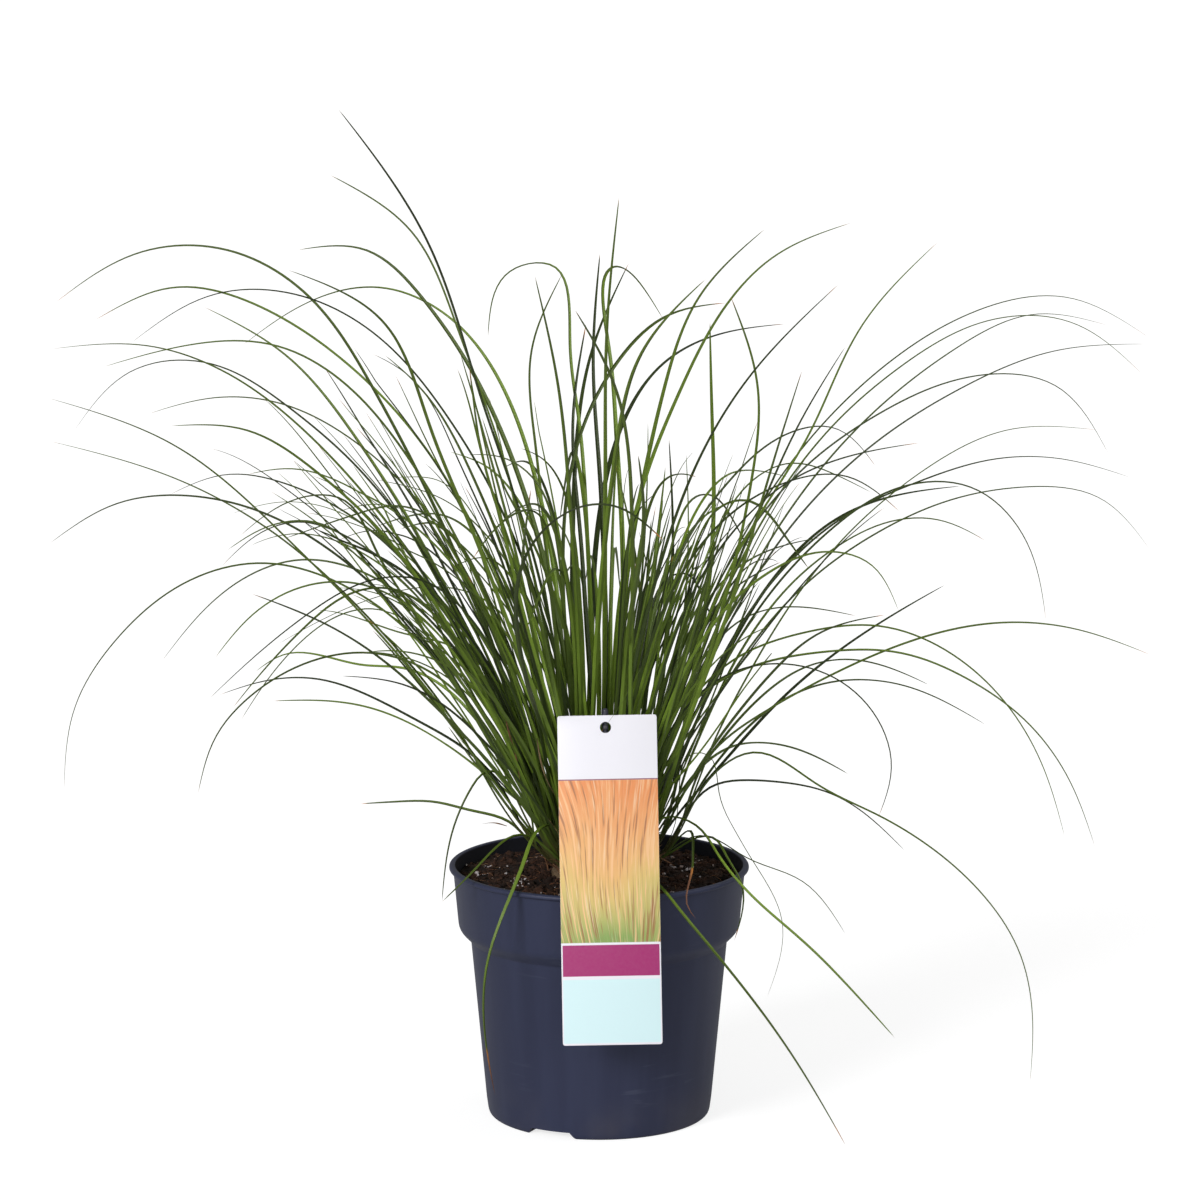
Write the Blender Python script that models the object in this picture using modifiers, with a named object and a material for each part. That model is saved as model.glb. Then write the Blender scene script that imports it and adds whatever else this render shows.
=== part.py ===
"""Potted sedge: a tussock of fine arching leaves in a nursery pot, with its card label.

Metres, +Z up. The origin is the middle of the pot's underside, where the pot stands.
The plant's front, where the card hangs, looks along -Y.
"""
import math
import random

import bmesh
import bpy
import numpy as np
from mathutils import Matrix, Vector

# Clearances between pieces that touch in the real thing
GAP = 0.0003

# Pot: one thin moulding, measured on its outside
POT_STEPS = 40
WALL = 0.0012
RIM_RADIUS = 0.0950
RIM_HEIGHT = 0.1640
LIP_OUT = 0.0013
LIP_TALL = 0.0034
BAND_TOP_RADIUS = 0.0937
BAND_FOOT_RADIUS = 0.0903
BAND_FOOT_HEIGHT = 0.1244
BODY_TOP_RADIUS = 0.0823
BODY_TOP_HEIGHT = 0.1154
BODY_FOOT_RADIUS = 0.0727
BODY_FOOT_HEIGHT = 0.0100
FOOT_RADIUS = 0.0687
STAND_INNER_RADIUS = 0.0560
PAD_RADIUS = 0.0280
CHANNEL_RISE = 0.0050
DRAIN_HOLES = 6
DRAIN_HOLE_RADIUS = 0.0045
DRAIN_HOLE_RING = 0.0420
NOTCH_WIDTH = 0.0270
NOTCH_HEIGHT = 0.0045
NOTCH_DEPTH = 0.0240
NOTCH_ANGLES = (math.radians(244.0), math.radians(64.0))

# Soil and rootstock
SOIL_EDGE_DROP = 0.0095
SOIL_MOUND = 0.0035
CROWN_CENTRE = Vector((0.0030, 0.0, 0.0))
CROWN_STEPS = 28
CROWN_RADIUS = 0.0350
CROWN_TOP = 0.1620
CROWN_SUNK = 0.0160
CROWN_EDGE_ROUNDING = 0.0030

# Shoots: rings of sheaths on the crown, each with three leaves
SHOOT_RINGS = ((0.0300, 19), (0.0198, 13), (0.0104, 7), (0.0, 1))
LEAVES_ON_A_SHOOT = 3
SHEATH_LENGTH = 0.0220
SHEATH_FOOT_RADIUS = 0.0031
SHEATH_TOP_RADIUS = 0.0024
SHEATH_STEEPEST_LEAN = math.radians(52.0)
LEAF_BASE_HALF_WIDTH = 0.00140
LEAF_TIP_HALF_WIDTH = 0.00030
LEAF_DEPTH_SHARE = 0.8
LEAF_TURN_PER_SEGMENT = math.radians(15.0)
LEAF_SEGMENTS = (5, 9)
HANGING_LEAF_SEGMENTS = 10
PLAN_RADIUS = 0.330
LEAN_READ_AT = 0.060

# Card label and the stick that holds it
CARD_WIDTH = 0.0620
CARD_HEIGHT = 0.2050
CARD_THICKNESS = 0.0008
CARD_MIDDLE = Vector((0.0067, -0.0950, 0.1752))
CARD_LEAN = math.radians(12.5)
CARD_ROLL = math.radians(-1.03)
CARD_HOLE_RADIUS = 0.0035
CARD_HOLE_DOWN = 0.0076
CARD_HOLE_LEFT = 0.0010
STAKE_RADIUS = 0.0020
STAKE_STAND_OFF = 0.0030
STAKE_ABOVE_CARD = 0.0045
STAKE_FOOT = Vector((0.0045, -0.0795, 0.1180))
PEG_RADIUS = 0.0017
PEG_PAST_CARD = 0.0016

# The picture that the leaves were read from: a square seen from -Y, looking slightly down
PICTURE_MIDDLE = 600.0
FOCAL_PIXELS = 4785.0
VIEWPOINT = Vector((0.0006, -3.0, 0.858))
VIEW_DOWN = math.radians(9.88)

# Leaves by their picture positions, from the lower stretch to the tip. The first value is the
# share of the depth that the leaf's reach leaves free: -1 is fully to the front, 1 to the back.
LEAVES_LEFT = (
    (0.45, (366, 378), (270, 267), (201, 247), (109, 265), (55, 303)),
    (0.75, (400, 417), (281, 318), (187, 287), (123, 302), (95, 320)),
    (-0.30, (400, 358), (361, 323), (270, 291), (178, 308), (131, 343)),
    (0.90, (520, 430), (456, 324), (368, 287), (281, 318), (243, 345)),
    (0.10, (300, 427), (235, 378), (148, 346), (51, 349)),
    (-0.55, (400, 447), (304, 357), (231, 340), (169, 350), (103, 367)),
    (-0.20, (293, 544), (212, 475), (139, 424), (48, 398)),
    (0.30, (343, 592), (260, 524), (155, 471), (49, 441)),
    (-0.60, (304, 534), (219, 500), (173, 496), (86, 517), (49, 544)),
    (-0.35, (338, 583), (247, 564), (178, 587), (97, 666), (67, 735), (64, 791)),
    (0.55, (361, 572), (311, 560), (237, 583), (162, 661)),
    (-0.80, (316, 584), (270, 602), (215, 658)),
    (-0.90, (375, 579), (304, 617), (209, 699)),
    (-0.75, (400, 675), (338, 631), (252, 594)),
    (-0.50, (400, 659), (361, 653), (270, 682), (210, 749), (198, 794)),
    (0.80, (355, 610), (293, 650), (241, 720)),
    (-0.65, (449, 710), (400, 684), (341, 676)),
    (0.35, (472, 756), (403, 714), (338, 684), (288, 678), (219, 695)),
    (0.70, (400, 719), (361, 706), (273, 701)),
    (0.60, (400, 668), (350, 664), (299, 652), (255, 672)),
    (0.20, (533, 835), (502, 821), (451, 805), (400, 802), (360, 804)),
    (0.85, (338, 430), (270, 401), (228, 397), (148, 414)),
    (-0.70, (322, 477), (247, 431), (201, 419), (170, 426)),
    (0.65, (247, 381), (171, 358), (127, 374), (74, 431)),
    (0.95, (327, 401), (258, 334), (204, 307)),
    (0.55, (472, 372), (419, 295), (369, 252), (333, 239), (298, 250)),
    (-0.95, (400, 358), (361, 296), (288, 270)),
    (-0.60, (361, 526), (325, 489), (281, 508), (240, 536)),
    (0.40, (281, 482), (235, 474), (169, 495)),
    (0.90, (330, 530), (297, 522), (222, 566)),
)
LEAVES_TOP = (
    (-0.30, (500, 450), (470, 368), (419, 225), (338, 109)),
    (0.35, (484, 400), (442, 292), (396, 214), (330, 175)),
    (0.60, (578, 423), (562, 297), (540, 245), (513, 267), (488, 337)),
    (0.75, (534, 441), (542, 308), (562, 274)),
    (-0.50, (566, 450), (552, 347), (535, 276)),
    (0.45, (598, 450), (593, 354), (600, 253)),
    (-0.35, (605, 450), (608, 303), (619, 197)),
    (-0.85, (628, 450), (614, 382), (575, 310)),
    (0.25, (574, 450), (577, 354), (586, 324)),
    (0.80, (579, 423), (596, 338), (629, 263)),
    (0.90, (610, 360), (610, 252), (645, 299), (663, 319)),
    (-0.75, (530, 602), (524, 522), (531, 489)),
    (-0.70, (629, 625), (643, 533), (638, 455)),
    (0.65, (670, 478), (668, 455), (669, 439)),
    (-0.95, (551, 524), (604, 504), (663, 540)),
)
LEAVES_RIGHT = (
    (0.50, (654, 453), (689, 373), (732, 298), (790, 247), (851, 223)),
    (0.85, (668, 377), (698, 300), (765, 229)),
    (-0.55, (617, 444), (643, 351), (706, 279)),
    (0.30, (672, 312), (707, 299), (726, 303)),
    (-0.40, (757, 444), (757, 375), (731, 297)),
    (0.55, (715, 474), (711, 387), (710, 322)),
    (0.95, (707, 338), (748, 329), (785, 324)),
    (-0.80, (702, 455), (757, 368), (839, 284)),
    (-0.35, (755, 524), (812, 430), (876, 305), (938, 242)),
    (0.70, (790, 444), (812, 400), (846, 346)),
    (-0.90, (780, 439), (792, 396), (802, 371)),
    (-0.20, (811, 438), (876, 373), (961, 318), (1050, 295), (1151, 339)),
    (0.25, (800, 516), (896, 428), (1030, 359), (1110, 342), (1148, 344)),
    (0.60, (834, 425), (938, 343), (1018, 315), (1075, 324), (1143, 375)),
    (0.90, (850, 436), (942, 358), (1052, 313), (1110, 326)),
    (-0.45, (834, 443), (915, 396), (1002, 374), (1075, 399), (1109, 455)),
    (0.35, (857, 525), (929, 467), (1018, 428), (1098, 430)),
    (0.75, (846, 516), (938, 475), (1020, 456), (1132, 478)),
    (0.10, (811, 580), (892, 525), (1030, 487), (1133, 521), (1151, 551)),
    (-0.60, (811, 548), (880, 497), (942, 480), (1013, 520), (1046, 621)),
    (0.80, (869, 503), (929, 490), (961, 486)),
    (0.45, (846, 541), (926, 518), (986, 541)),
    (-0.75, (800, 558), (846, 553), (883, 577), (899, 612)),
    (-0.85, (811, 470), (864, 453), (919, 443)),
    (0.40, (767, 447), (818, 424), (876, 467)),
    (-0.70, (790, 481), (840, 475), (900, 512)),
    (-0.30, (734, 672), (778, 662), (857, 649), (961, 676), (1057, 759), (1095, 847)),
    (-0.65, (721, 669), (801, 634), (864, 625), (972, 669), (1052, 791), (1065, 838)),
    (0.15, (698, 774), (800, 692), (919, 639), (1046, 624), (1151, 655)),
    (0.70, (800, 683), (876, 626), (945, 585)),
    (-0.40, (732, 673), (778, 664), (844, 684), (891, 759), (878, 818)),
    (0.55, (800, 692), (880, 681), (986, 725)),
    (0.85, (834, 660), (892, 669), (929, 685)),
    (-0.15, (705, 785), (733, 752), (790, 770), (938, 853), (1024, 965), (1030, 1083)),
    (0.30, (709, 788), (760, 781), (834, 795), (905, 851)),
    (0.60, (730, 748), (762, 743), (848, 774)),
    (-0.80, (790, 656), (831, 628), (885, 615)),
    (0.65, (762, 611), (808, 608), (856, 616)),
)

# Leaves that hang over the lip, by picture position and depth in metres
LEAVES_HANGING = (
    ((507, 779, -0.010), (492, 771, -0.012), (469, 793, -0.020), (446, 864, -0.030), (442, 902, -0.035)),
    ((528, 836, -0.030), (477, 868, -0.055), (442, 902, -0.068)),
    ((553, 823, -0.045), (515, 887, -0.084), (489, 959, -0.098), (484, 1002, -0.098), (495, 1095, -0.092)),
    ((660, 887, -0.086), (668, 897, -0.096), (721, 961, -0.125), (800, 1068, -0.165), (846, 1146, -0.190)),
    ((668, 813, -0.020), (732, 874, -0.052), (800, 939, -0.090), (895, 1038, -0.130)),
    ((706, 836, -0.005), (745, 857, -0.010), (800, 880, -0.015), (846, 935, -0.020)),
    ((700, 740, 0.020), (721, 800, 0.030), (783, 938, 0.060), (767, 997, 0.065)),
    ((688, 831, -0.030), (693, 854, -0.060), (690, 880, -0.085), (687, 905, -0.094), (696, 919, -0.096)),
    ((706, 836, -0.020), (729, 862, -0.045), (742, 890, -0.058), (734, 941, -0.060)),
)

# Leaves that the picture hides in the crowd, grown by rule
HIDDEN_LEAVES = 28
HIDDEN_SEED = 7
HIDDEN_REACH = (0.10, 0.28)
HIDDEN_TOP = (0.36, 0.46)
HIDDEN_DROOP = (0.00, 0.09)

# How the leaves are kept clear of each other
APART_ROUNDS = 140
APART_DAMPING = 0.6
APART_SEARCH = 0.012
BEHIND_CARD = 0.0060
LEAN_ABOVE_CARD = 0.5
HELD_ABOVE_CARD = 0.080
CLEAR_ABOVE_CARD = 0.030
HELD_BESIDE_CARD = 0.014


def clear_scene():
    for item in list(bpy.data.objects):
        bpy.data.objects.remove(item, do_unlink=True)


def make_collection(name):
    collection = bpy.data.collections.new(name)
    bpy.context.scene.collection.children.link(collection)
    return collection


def plain_material(name, colour, roughness, metallic=0.0):
    material = bpy.data.materials.new(name)
    material.use_nodes = True
    shader = material.node_tree.nodes["Principled BSDF"]
    shader.inputs["Base Color"].default_value = (*colour, 1.0)
    shader.inputs["Roughness"].default_value = roughness
    shader.inputs["Metallic"].default_value = metallic
    return material


def add_object(name, mesh, collection, material=None):
    item = bpy.data.objects.new(name, mesh)
    collection.objects.link(item)
    if material:
        mesh.materials.append(material)
    return item


def mesh_from(build, name):
    """A mesh filled by build(bm)."""
    bm = bmesh.new()
    build(bm)
    mesh = bpy.data.meshes.new(name)
    bm.to_mesh(mesh)
    bm.free()
    return mesh


def add_turned(name, profile, collection, material):
    """Turns the profile, points (radius, height) down its outer side, about the Z axis."""
    def outline(bm):
        points = [bm.verts.new((radius, 0.0, height)) for radius, height in profile]
        for first, second in zip(points, points[1:] + points[:1]):
            if first.co.x > 0.0 or second.co.x > 0.0:
                bm.edges.new((first, second))

    item = add_object(name, mesh_from(outline, name), collection, material)
    screw = item.modifiers.new("Turn", 'SCREW')
    screw.steps = screw.render_steps = POT_STEPS
    screw.use_merge_vertices = True
    screw.merge_threshold = 0.00001
    return item


def add_cutter(name, mesh, collection, place):
    cutter = add_object(name, mesh, collection)
    cutter.matrix_world = place
    cutter.hide_render = True
    cutter.display_type = 'WIRE'
    return cutter


def boolean(item, other, operation):
    modifier = item.modifiers.new(operation.title(), 'BOOLEAN')
    modifier.operation = operation
    modifier.object = other
    modifier.solver = 'EXACT'


def shade_round(item, angle=40.0):
    item.data.shade_smooth()
    item.data.set_sharp_from_angle(angle=math.radians(angle))


def floor_profile(lift):
    """The pot's floor from the standing ring in to the axis, lifted by this much."""
    ramp = CHANNEL_RISE
    return [
        (STAND_INNER_RADIUS + 0.5 * ramp, lift),
        (STAND_INNER_RADIUS - 0.5 * ramp, CHANNEL_RISE + lift),
        (PAD_RADIUS + ramp, CHANNEL_RISE + lift),
        (PAD_RADIUS, lift),
        (0.0, lift),
    ]


def wall_profile(inset, top):
    """The pot's wall from the foot up to a height, set in from the outside by this much."""
    corner = 0.35 * inset
    rows = [
        (FOOT_RADIUS - inset, inset),
        (BODY_FOOT_RADIUS - inset, BODY_FOOT_HEIGHT),
        (BODY_TOP_RADIUS - inset, BODY_TOP_HEIGHT + corner),
        (BAND_FOOT_RADIUS - inset, BAND_FOOT_HEIGHT + corner),
    ]
    share = (top - BAND_FOOT_HEIGHT) / (RIM_HEIGHT - BAND_FOOT_HEIGHT)
    rows.append((BAND_FOOT_RADIUS + (BAND_TOP_RADIUS - BAND_FOOT_RADIUS) * share - inset, top))
    return rows


def make_notches(cutters):
    """Cutters for the slots in the foot's edge, through the pot and the soil behind it."""
    def block(bm):
        bmesh.ops.create_cube(bm, size=1.0)

    notches = []
    for number, angle in enumerate(NOTCH_ANGLES):
        middle = Vector((math.cos(angle), math.sin(angle), 0.0)) * (FOOT_RADIUS - 0.2 * NOTCH_DEPTH)
        place = (Matrix.Translation(middle) @ Matrix.Rotation(angle, 4, 'Z')
                 @ Matrix.Diagonal((NOTCH_DEPTH, NOTCH_WIDTH, 2.0 * NOTCH_HEIGHT, 1.0)))
        notches.append(add_cutter(f"cut foot notch {number}", mesh_from(block, "notch"), cutters, place))
    return notches


def make_pot(parts, cutters, notches):
    inside = wall_profile(WALL, RIM_HEIGHT)
    lip = [
        (RIM_RADIUS, RIM_HEIGHT),
        (RIM_RADIUS + LIP_OUT, RIM_HEIGHT - 0.3 * LIP_TALL),
        (RIM_RADIUS + LIP_OUT, RIM_HEIGHT - 0.75 * LIP_TALL),
        (BAND_TOP_RADIUS, RIM_HEIGHT - LIP_TALL),
    ]
    outside = [
        (BAND_FOOT_RADIUS + 0.0004, BAND_FOOT_HEIGHT + 0.0022),
        (BAND_FOOT_RADIUS - 0.0014, BAND_FOOT_HEIGHT),
        (BODY_TOP_RADIUS + 0.0016, BODY_TOP_HEIGHT + 0.0012),
        (BODY_TOP_RADIUS, BODY_TOP_HEIGHT - 0.0022),
        (BODY_FOOT_RADIUS, BODY_FOOT_HEIGHT),
        (FOOT_RADIUS + 0.0022, 0.0022),
        (FOOT_RADIUS, 0.0),
    ]
    floor_inside = list(reversed(floor_profile(WALL)))
    profile = floor_inside + inside + lip + outside + floor_profile(0.0)
    pot = add_turned("pot", profile, parts, plain_material("pot plastic", (0.045, 0.051, 0.085), 0.42))

    for notch in notches:
        boolean(pot, notch, 'DIFFERENCE')

    def drill(bm):
        bmesh.ops.create_cone(bm, cap_ends=True, segments=8, radius1=DRAIN_HOLE_RADIUS,
                              radius2=DRAIN_HOLE_RADIUS, depth=6.0 * CHANNEL_RISE)

    for number in range(DRAIN_HOLES):
        angle = math.tau * (number + 0.25) / DRAIN_HOLES
        outward = Vector((math.cos(angle), math.sin(angle), 0.0))
        place = Matrix.Translation(outward * DRAIN_HOLE_RING)
        boolean(pot, add_cutter(f"cut drain hole {number}", mesh_from(drill, "drill"), cutters, place),
                'DIFFERENCE')
    shade_round(pot)
    return pot


def soil_height(radius):
    """The soil's surface, mounded from the wall up to the plant."""
    edge = RIM_HEIGHT - SOIL_EDGE_DROP
    return edge + SOIL_MOUND * 0.5 * (1.0 + math.cos(math.pi * min(radius / BAND_TOP_RADIUS, 1.0)))


def make_soil(parts, cutters, notches):
    edge = RIM_HEIGHT - SOIL_EDGE_DROP
    wall = wall_profile(WALL + GAP, edge)
    radii = (0.0, 0.5, 0.8)
    surface = [(wall[-1][0] * share, soil_height(wall[-1][0] * share)) for share in radii]
    outer = list(reversed(wall[1:]))
    foot = [(wall[0][0], WALL + 2.0 * GAP)]
    profile = surface + outer + foot + floor_profile(WALL + 2.0 * GAP)
    soil = add_turned("potting_soil", profile, parts, plain_material("peat", (0.030, 0.017, 0.011), 0.95))

    for notch in notches:
        boolean(soil, notch, 'DIFFERENCE')

    def pocket(bm):
        bmesh.ops.create_cone(bm, cap_ends=True, segments=CROWN_STEPS, radius1=CROWN_RADIUS + GAP,
                              radius2=CROWN_RADIUS + GAP, depth=0.08)

    bottom = CROWN_TOP - CROWN_SUNK - GAP
    place = Matrix.Translation(CROWN_CENTRE + Vector((0.0, 0.0, bottom + 0.04)))
    boolean(soil, add_cutter("cut crown pocket", mesh_from(pocket, "pocket"), cutters, place), 'DIFFERENCE')

    def stake_hole(bm):
        bmesh.ops.create_cone(bm, cap_ends=True, segments=12, radius1=STAKE_RADIUS + 1.5 * GAP,
                              radius2=STAKE_RADIUS + 1.5 * GAP, depth=0.10)

    axis = (stake_top() - STAKE_FOOT).normalized()
    middle = STAKE_FOOT - axis * 2.0 * GAP + axis * 0.05
    place = Matrix.Translation(middle) @ axis.to_track_quat('Z', 'Y').to_matrix().to_4x4()
    boolean(soil, add_cutter("cut stake hole", mesh_from(stake_hole, "stake hole"), cutters, place),
            'DIFFERENCE')
    shade_round(soil)
    return soil


def make_crown(parts):
    def dome(bm):
        bmesh.ops.create_cone(bm, cap_ends=True, segments=CROWN_STEPS, radius1=0.9 * CROWN_RADIUS,
                              radius2=CROWN_RADIUS, depth=CROWN_SUNK)
        rim = [edge for edge in bm.edges if all(vert.co.z > 0.0 for vert in edge.verts)]
        bmesh.ops.bevel(bm, geom=rim, offset=CROWN_EDGE_ROUNDING, offset_type='OFFSET', segments=3,
                        profile=0.5, affect='EDGES', material=-1)
        middle = CROWN_CENTRE + Vector((0.0, 0.0, CROWN_TOP - 0.5 * CROWN_SUNK))
        bmesh.ops.translate(bm, verts=bm.verts, vec=middle)

    crown = add_object("crown", mesh_from(dome, "crown"), parts,
                       plain_material("old sheaths", (0.12, 0.075, 0.035), 0.85))
    shade_round(crown)
    return crown


def card_place():
    """Where the card hangs: its middle, leaning back at the top and rolled a little."""
    return (Matrix.Translation(CARD_MIDDLE) @ Matrix.Rotation(-CARD_LEAN, 4, 'X')
            @ Matrix.Rotation(CARD_ROLL, 4, 'Y'))


def card_hole():
    """The hole's middle in the card's own frame."""
    return Vector((-CARD_HOLE_LEFT, 0.0, 0.5 * CARD_HEIGHT - CARD_HOLE_DOWN))


def stake_top():
    behind = Vector((0.0, STAKE_STAND_OFF, CARD_HOLE_DOWN + STAKE_ABOVE_CARD - STAKE_RADIUS))
    return card_place() @ (card_hole() + behind)


def make_label(parts, cutters):
    def card(bm):
        bmesh.ops.create_cube(bm, size=1.0)
        bmesh.ops.scale(bm, vec=(CARD_WIDTH, CARD_THICKNESS, CARD_HEIGHT), verts=bm.verts)

    label = add_object("label", mesh_from(card, "label"), parts,
                       plain_material("printed card", (0.75, 0.74, 0.78), 0.35))
    label.matrix_world = card_place()

    def punch(bm):
        bmesh.ops.create_cone(bm, cap_ends=True, segments=16, radius1=CARD_HOLE_RADIUS,
                              radius2=CARD_HOLE_RADIUS, depth=0.01)

    place = card_place() @ Matrix.Translation(card_hole()) @ Matrix.Rotation(math.radians(90.0), 4, 'X')
    boolean(label, add_cutter("cut hanging hole", mesh_from(punch, "punch"), cutters, place), 'DIFFERENCE')
    return label


def make_stake(parts, cutters):
    """A straight stick with a rounded top, and a peg that goes through the card's hole."""
    def rod(bm):
        reach = (stake_top() - STAKE_FOOT).length
        bmesh.ops.create_cone(bm, cap_ends=True, segments=12, radius1=STAKE_RADIUS,
                              radius2=STAKE_RADIUS, depth=reach + STAKE_RADIUS)
        ends = [edge for edge in bm.edges if all(vert.co.z > 0.0 for vert in edge.verts)]
        bmesh.ops.bevel(bm, geom=ends, offset=0.8 * STAKE_RADIUS, offset_type='OFFSET', segments=2,
                        profile=0.5, affect='EDGES', material=-1)

    axis = (stake_top() - STAKE_FOOT).normalized()
    middle = 0.5 * (stake_top() + STAKE_FOOT) + axis * 0.5 * STAKE_RADIUS
    stake = add_object("label_stake", mesh_from(rod, "label_stake"), parts,
                       plain_material("stake plastic", (0.030, 0.032, 0.042), 0.45))
    stake.matrix_world = Matrix.Translation(middle) @ axis.to_track_quat('Z', 'Y').to_matrix().to_4x4()

    def peg(bm):
        length = STAKE_STAND_OFF + 0.5 * CARD_THICKNESS + PEG_PAST_CARD
        bmesh.ops.create_cone(bm, cap_ends=True, segments=12, radius1=PEG_RADIUS,
                              radius2=0.8 * PEG_RADIUS, depth=length)
        bmesh.ops.translate(bm, verts=bm.verts, vec=(0.0, 0.0, 0.5 * length))

    start = card_hole() + Vector((0.0, STAKE_STAND_OFF, 0.0))
    place = card_place() @ Matrix.Translation(start) @ Matrix.Rotation(math.radians(90.0), 4, 'X')
    boolean(stake, add_cutter("join peg", mesh_from(peg, "peg"), cutters, place), 'UNION')
    shade_round(stake)
    return stake


def from_picture(u, v, depth):
    """The point at this depth along Y that the picture shows at pixel u, v."""
    ahead = Vector((0.0, math.cos(VIEW_DOWN), -math.sin(VIEW_DOWN)))
    upward = Vector((0.0, math.sin(VIEW_DOWN), math.cos(VIEW_DOWN)))
    ray = ahead + (Vector((1.0, 0.0, 0.0)) * (u - PICTURE_MIDDLE)
                   + upward * (PICTURE_MIDDLE - v)) / FOCAL_PIXELS
    return VIEWPOINT + ray * ((depth - VIEWPOINT.y) / ray.y)


def smooth_path(knots, segments):
    """Even points of a natural cubic spline through the knots, as an array."""
    knots = np.array([tuple(knot) for knot in knots])
    step = np.linalg.norm(np.diff(knots, axis=0), axis=1)
    count = len(knots)
    system = np.eye(count)
    change = np.zeros((count, 3))
    for i in range(1, count - 1):
        system[i, i - 1:i + 2] = step[i - 1], 2.0 * (step[i - 1] + step[i]), step[i]
        change[i] = 6.0 * ((knots[i + 1] - knots[i]) / step[i] - (knots[i] - knots[i - 1]) / step[i - 1])
    bend = np.linalg.solve(system, change)
    path = [knots[0]]
    for i, width in enumerate(step):
        for share in np.arange(1, 13) / 12.0:
            far, near = share * width, (1.0 - share) * width
            path.append((bend[i] * near ** 3 + bend[i + 1] * far ** 3) / (6.0 * width)
                        + (knots[i] / width - bend[i] * width / 6.0) * near
                        + (knots[i + 1] / width - bend[i + 1] * width / 6.0) * far)
    path = np.array(path)
    along = np.concatenate(([0.0], np.cumsum(np.linalg.norm(np.diff(path, axis=0), axis=1))))
    wanted = np.linspace(0.0, along[-1], segments + 1)
    return np.stack([np.interp(wanted, along, path[:, axis]) for axis in range(3)], axis=1)


def seen_knots():
    """The knots of each leaf that the picture shows, without its base."""
    rows = []
    for share, *pixels in LEAVES_LEFT + LEAVES_TOP + LEAVES_RIGHT:
        reach = from_picture(*pixels[-1], 0.0).x - CROWN_CENTRE.x
        free_depth = math.sqrt(max(PLAN_RADIUS ** 2 - reach ** 2, (0.3 * PLAN_RADIUS) ** 2))
        foot = from_picture(604, 850, 0.0)
        route = [foot] + [from_picture(u, v, 0.0) for u, v in pixels]
        run = np.cumsum([(b - a).length for a, b in zip(route, route[1:])])
        rows.append([from_picture(u, v, share * free_depth * (far / run[-1]) ** 1.2)
                     for (u, v), far in zip(pixels, run)])
    return rows


def hidden_knots():
    """The knots of the leaves that the picture hides, most of them to the front and back."""
    rng = random.Random(HIDDEN_SEED)
    rows = []
    for number in range(HIDDEN_LEAVES):
        side = 1.0 if number % 3 else -1.0
        azimuth = side * math.radians(90.0 + rng.uniform(-58.0, 58.0))
        reach = rng.uniform(*HIDDEN_REACH) * (1.0 if side > 0.0 else 0.75)
        rise = rng.uniform(*HIDDEN_TOP) - CROWN_TOP
        droop = rng.uniform(*HIDDEN_DROOP)
        out = Vector((math.cos(azimuth), math.sin(azimuth), 0.0))
        start = CROWN_CENTRE + Vector((0.0, 0.0, CROWN_TOP))
        rows.append([start + out * reach * share + Vector((0.0, 0.0, height))
                     for share, height in ((0.28, 0.52 * rise), (0.62, 0.9 * rise), (1.0, rise - droop))])
    return rows


def turn_along(path):
    """How far a path turns in all."""
    legs = [Vector(leg) for leg in np.diff(path, axis=0)]
    return sum(first.angle(second) for first, second in zip(legs, legs[1:]))


def plan_leaves():
    """Each leaf's knots, with how far it leans near its base and towards where."""
    start = CROWN_CENTRE + Vector((0.0, 0.0, CROWN_TOP))
    leaves = []
    hanging = [[from_picture(*place) for place in leaf] for leaf in LEAVES_HANGING]
    for knots in seen_knots() + hidden_knots() + hanging:
        path = smooth_path([start] + knots, 40)
        along = np.concatenate(([0.0], np.cumsum(np.linalg.norm(np.diff(path, axis=0), axis=1))))
        near = [np.interp(LEAN_READ_AT, along, path[:, axis]) for axis in range(3)]
        offset = Vector(near) - start
        segments = max(LEAF_SEGMENTS[0], round(turn_along(path) / LEAF_TURN_PER_SEGMENT) + 3)
        leaves.append({
            "knots": knots,
            "lean": offset.xy.length,
            "azimuth": math.atan2(offset.y, offset.x),
            "offset": offset,
            "segments": HANGING_LEAF_SEGMENTS if knots in hanging else min(LEAF_SEGMENTS[1], segments),
        })
    return leaves


def plan_shoots():
    """Deals the leaves to shoots: the most leaning ones to the outer ring, by direction."""
    leaves = sorted(plan_leaves(), key=lambda leaf: -leaf["lean"])
    shoots = []
    for radius, count in SHOOT_RINGS:
        ring = sorted(leaves[:count * LEAVES_ON_A_SHOOT], key=lambda leaf: leaf["azimuth"])
        leaves = leaves[count * LEAVES_ON_A_SHOOT:]
        groups = [ring[i * LEAVES_ON_A_SHOOT:(i + 1) * LEAVES_ON_A_SHOOT] for i in range(count)]
        heading = [math.atan2(sum(math.sin(leaf["azimuth"]) for leaf in group),
                              sum(math.cos(leaf["azimuth"]) for leaf in group)) for group in groups]
        drift = [angle - math.tau * i / count for i, angle in enumerate(heading)]
        start = math.atan2(sum(math.sin(angle) for angle in drift), sum(math.cos(angle) for angle in drift))
        for i, group in enumerate(groups):
            angle = start + math.tau * i / count
            foot = CROWN_CENTRE + Vector((radius * math.cos(angle), radius * math.sin(angle),
                                          CROWN_TOP + GAP))
            shoots.append(plan_shoot(foot, group))
    return shoots


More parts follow.
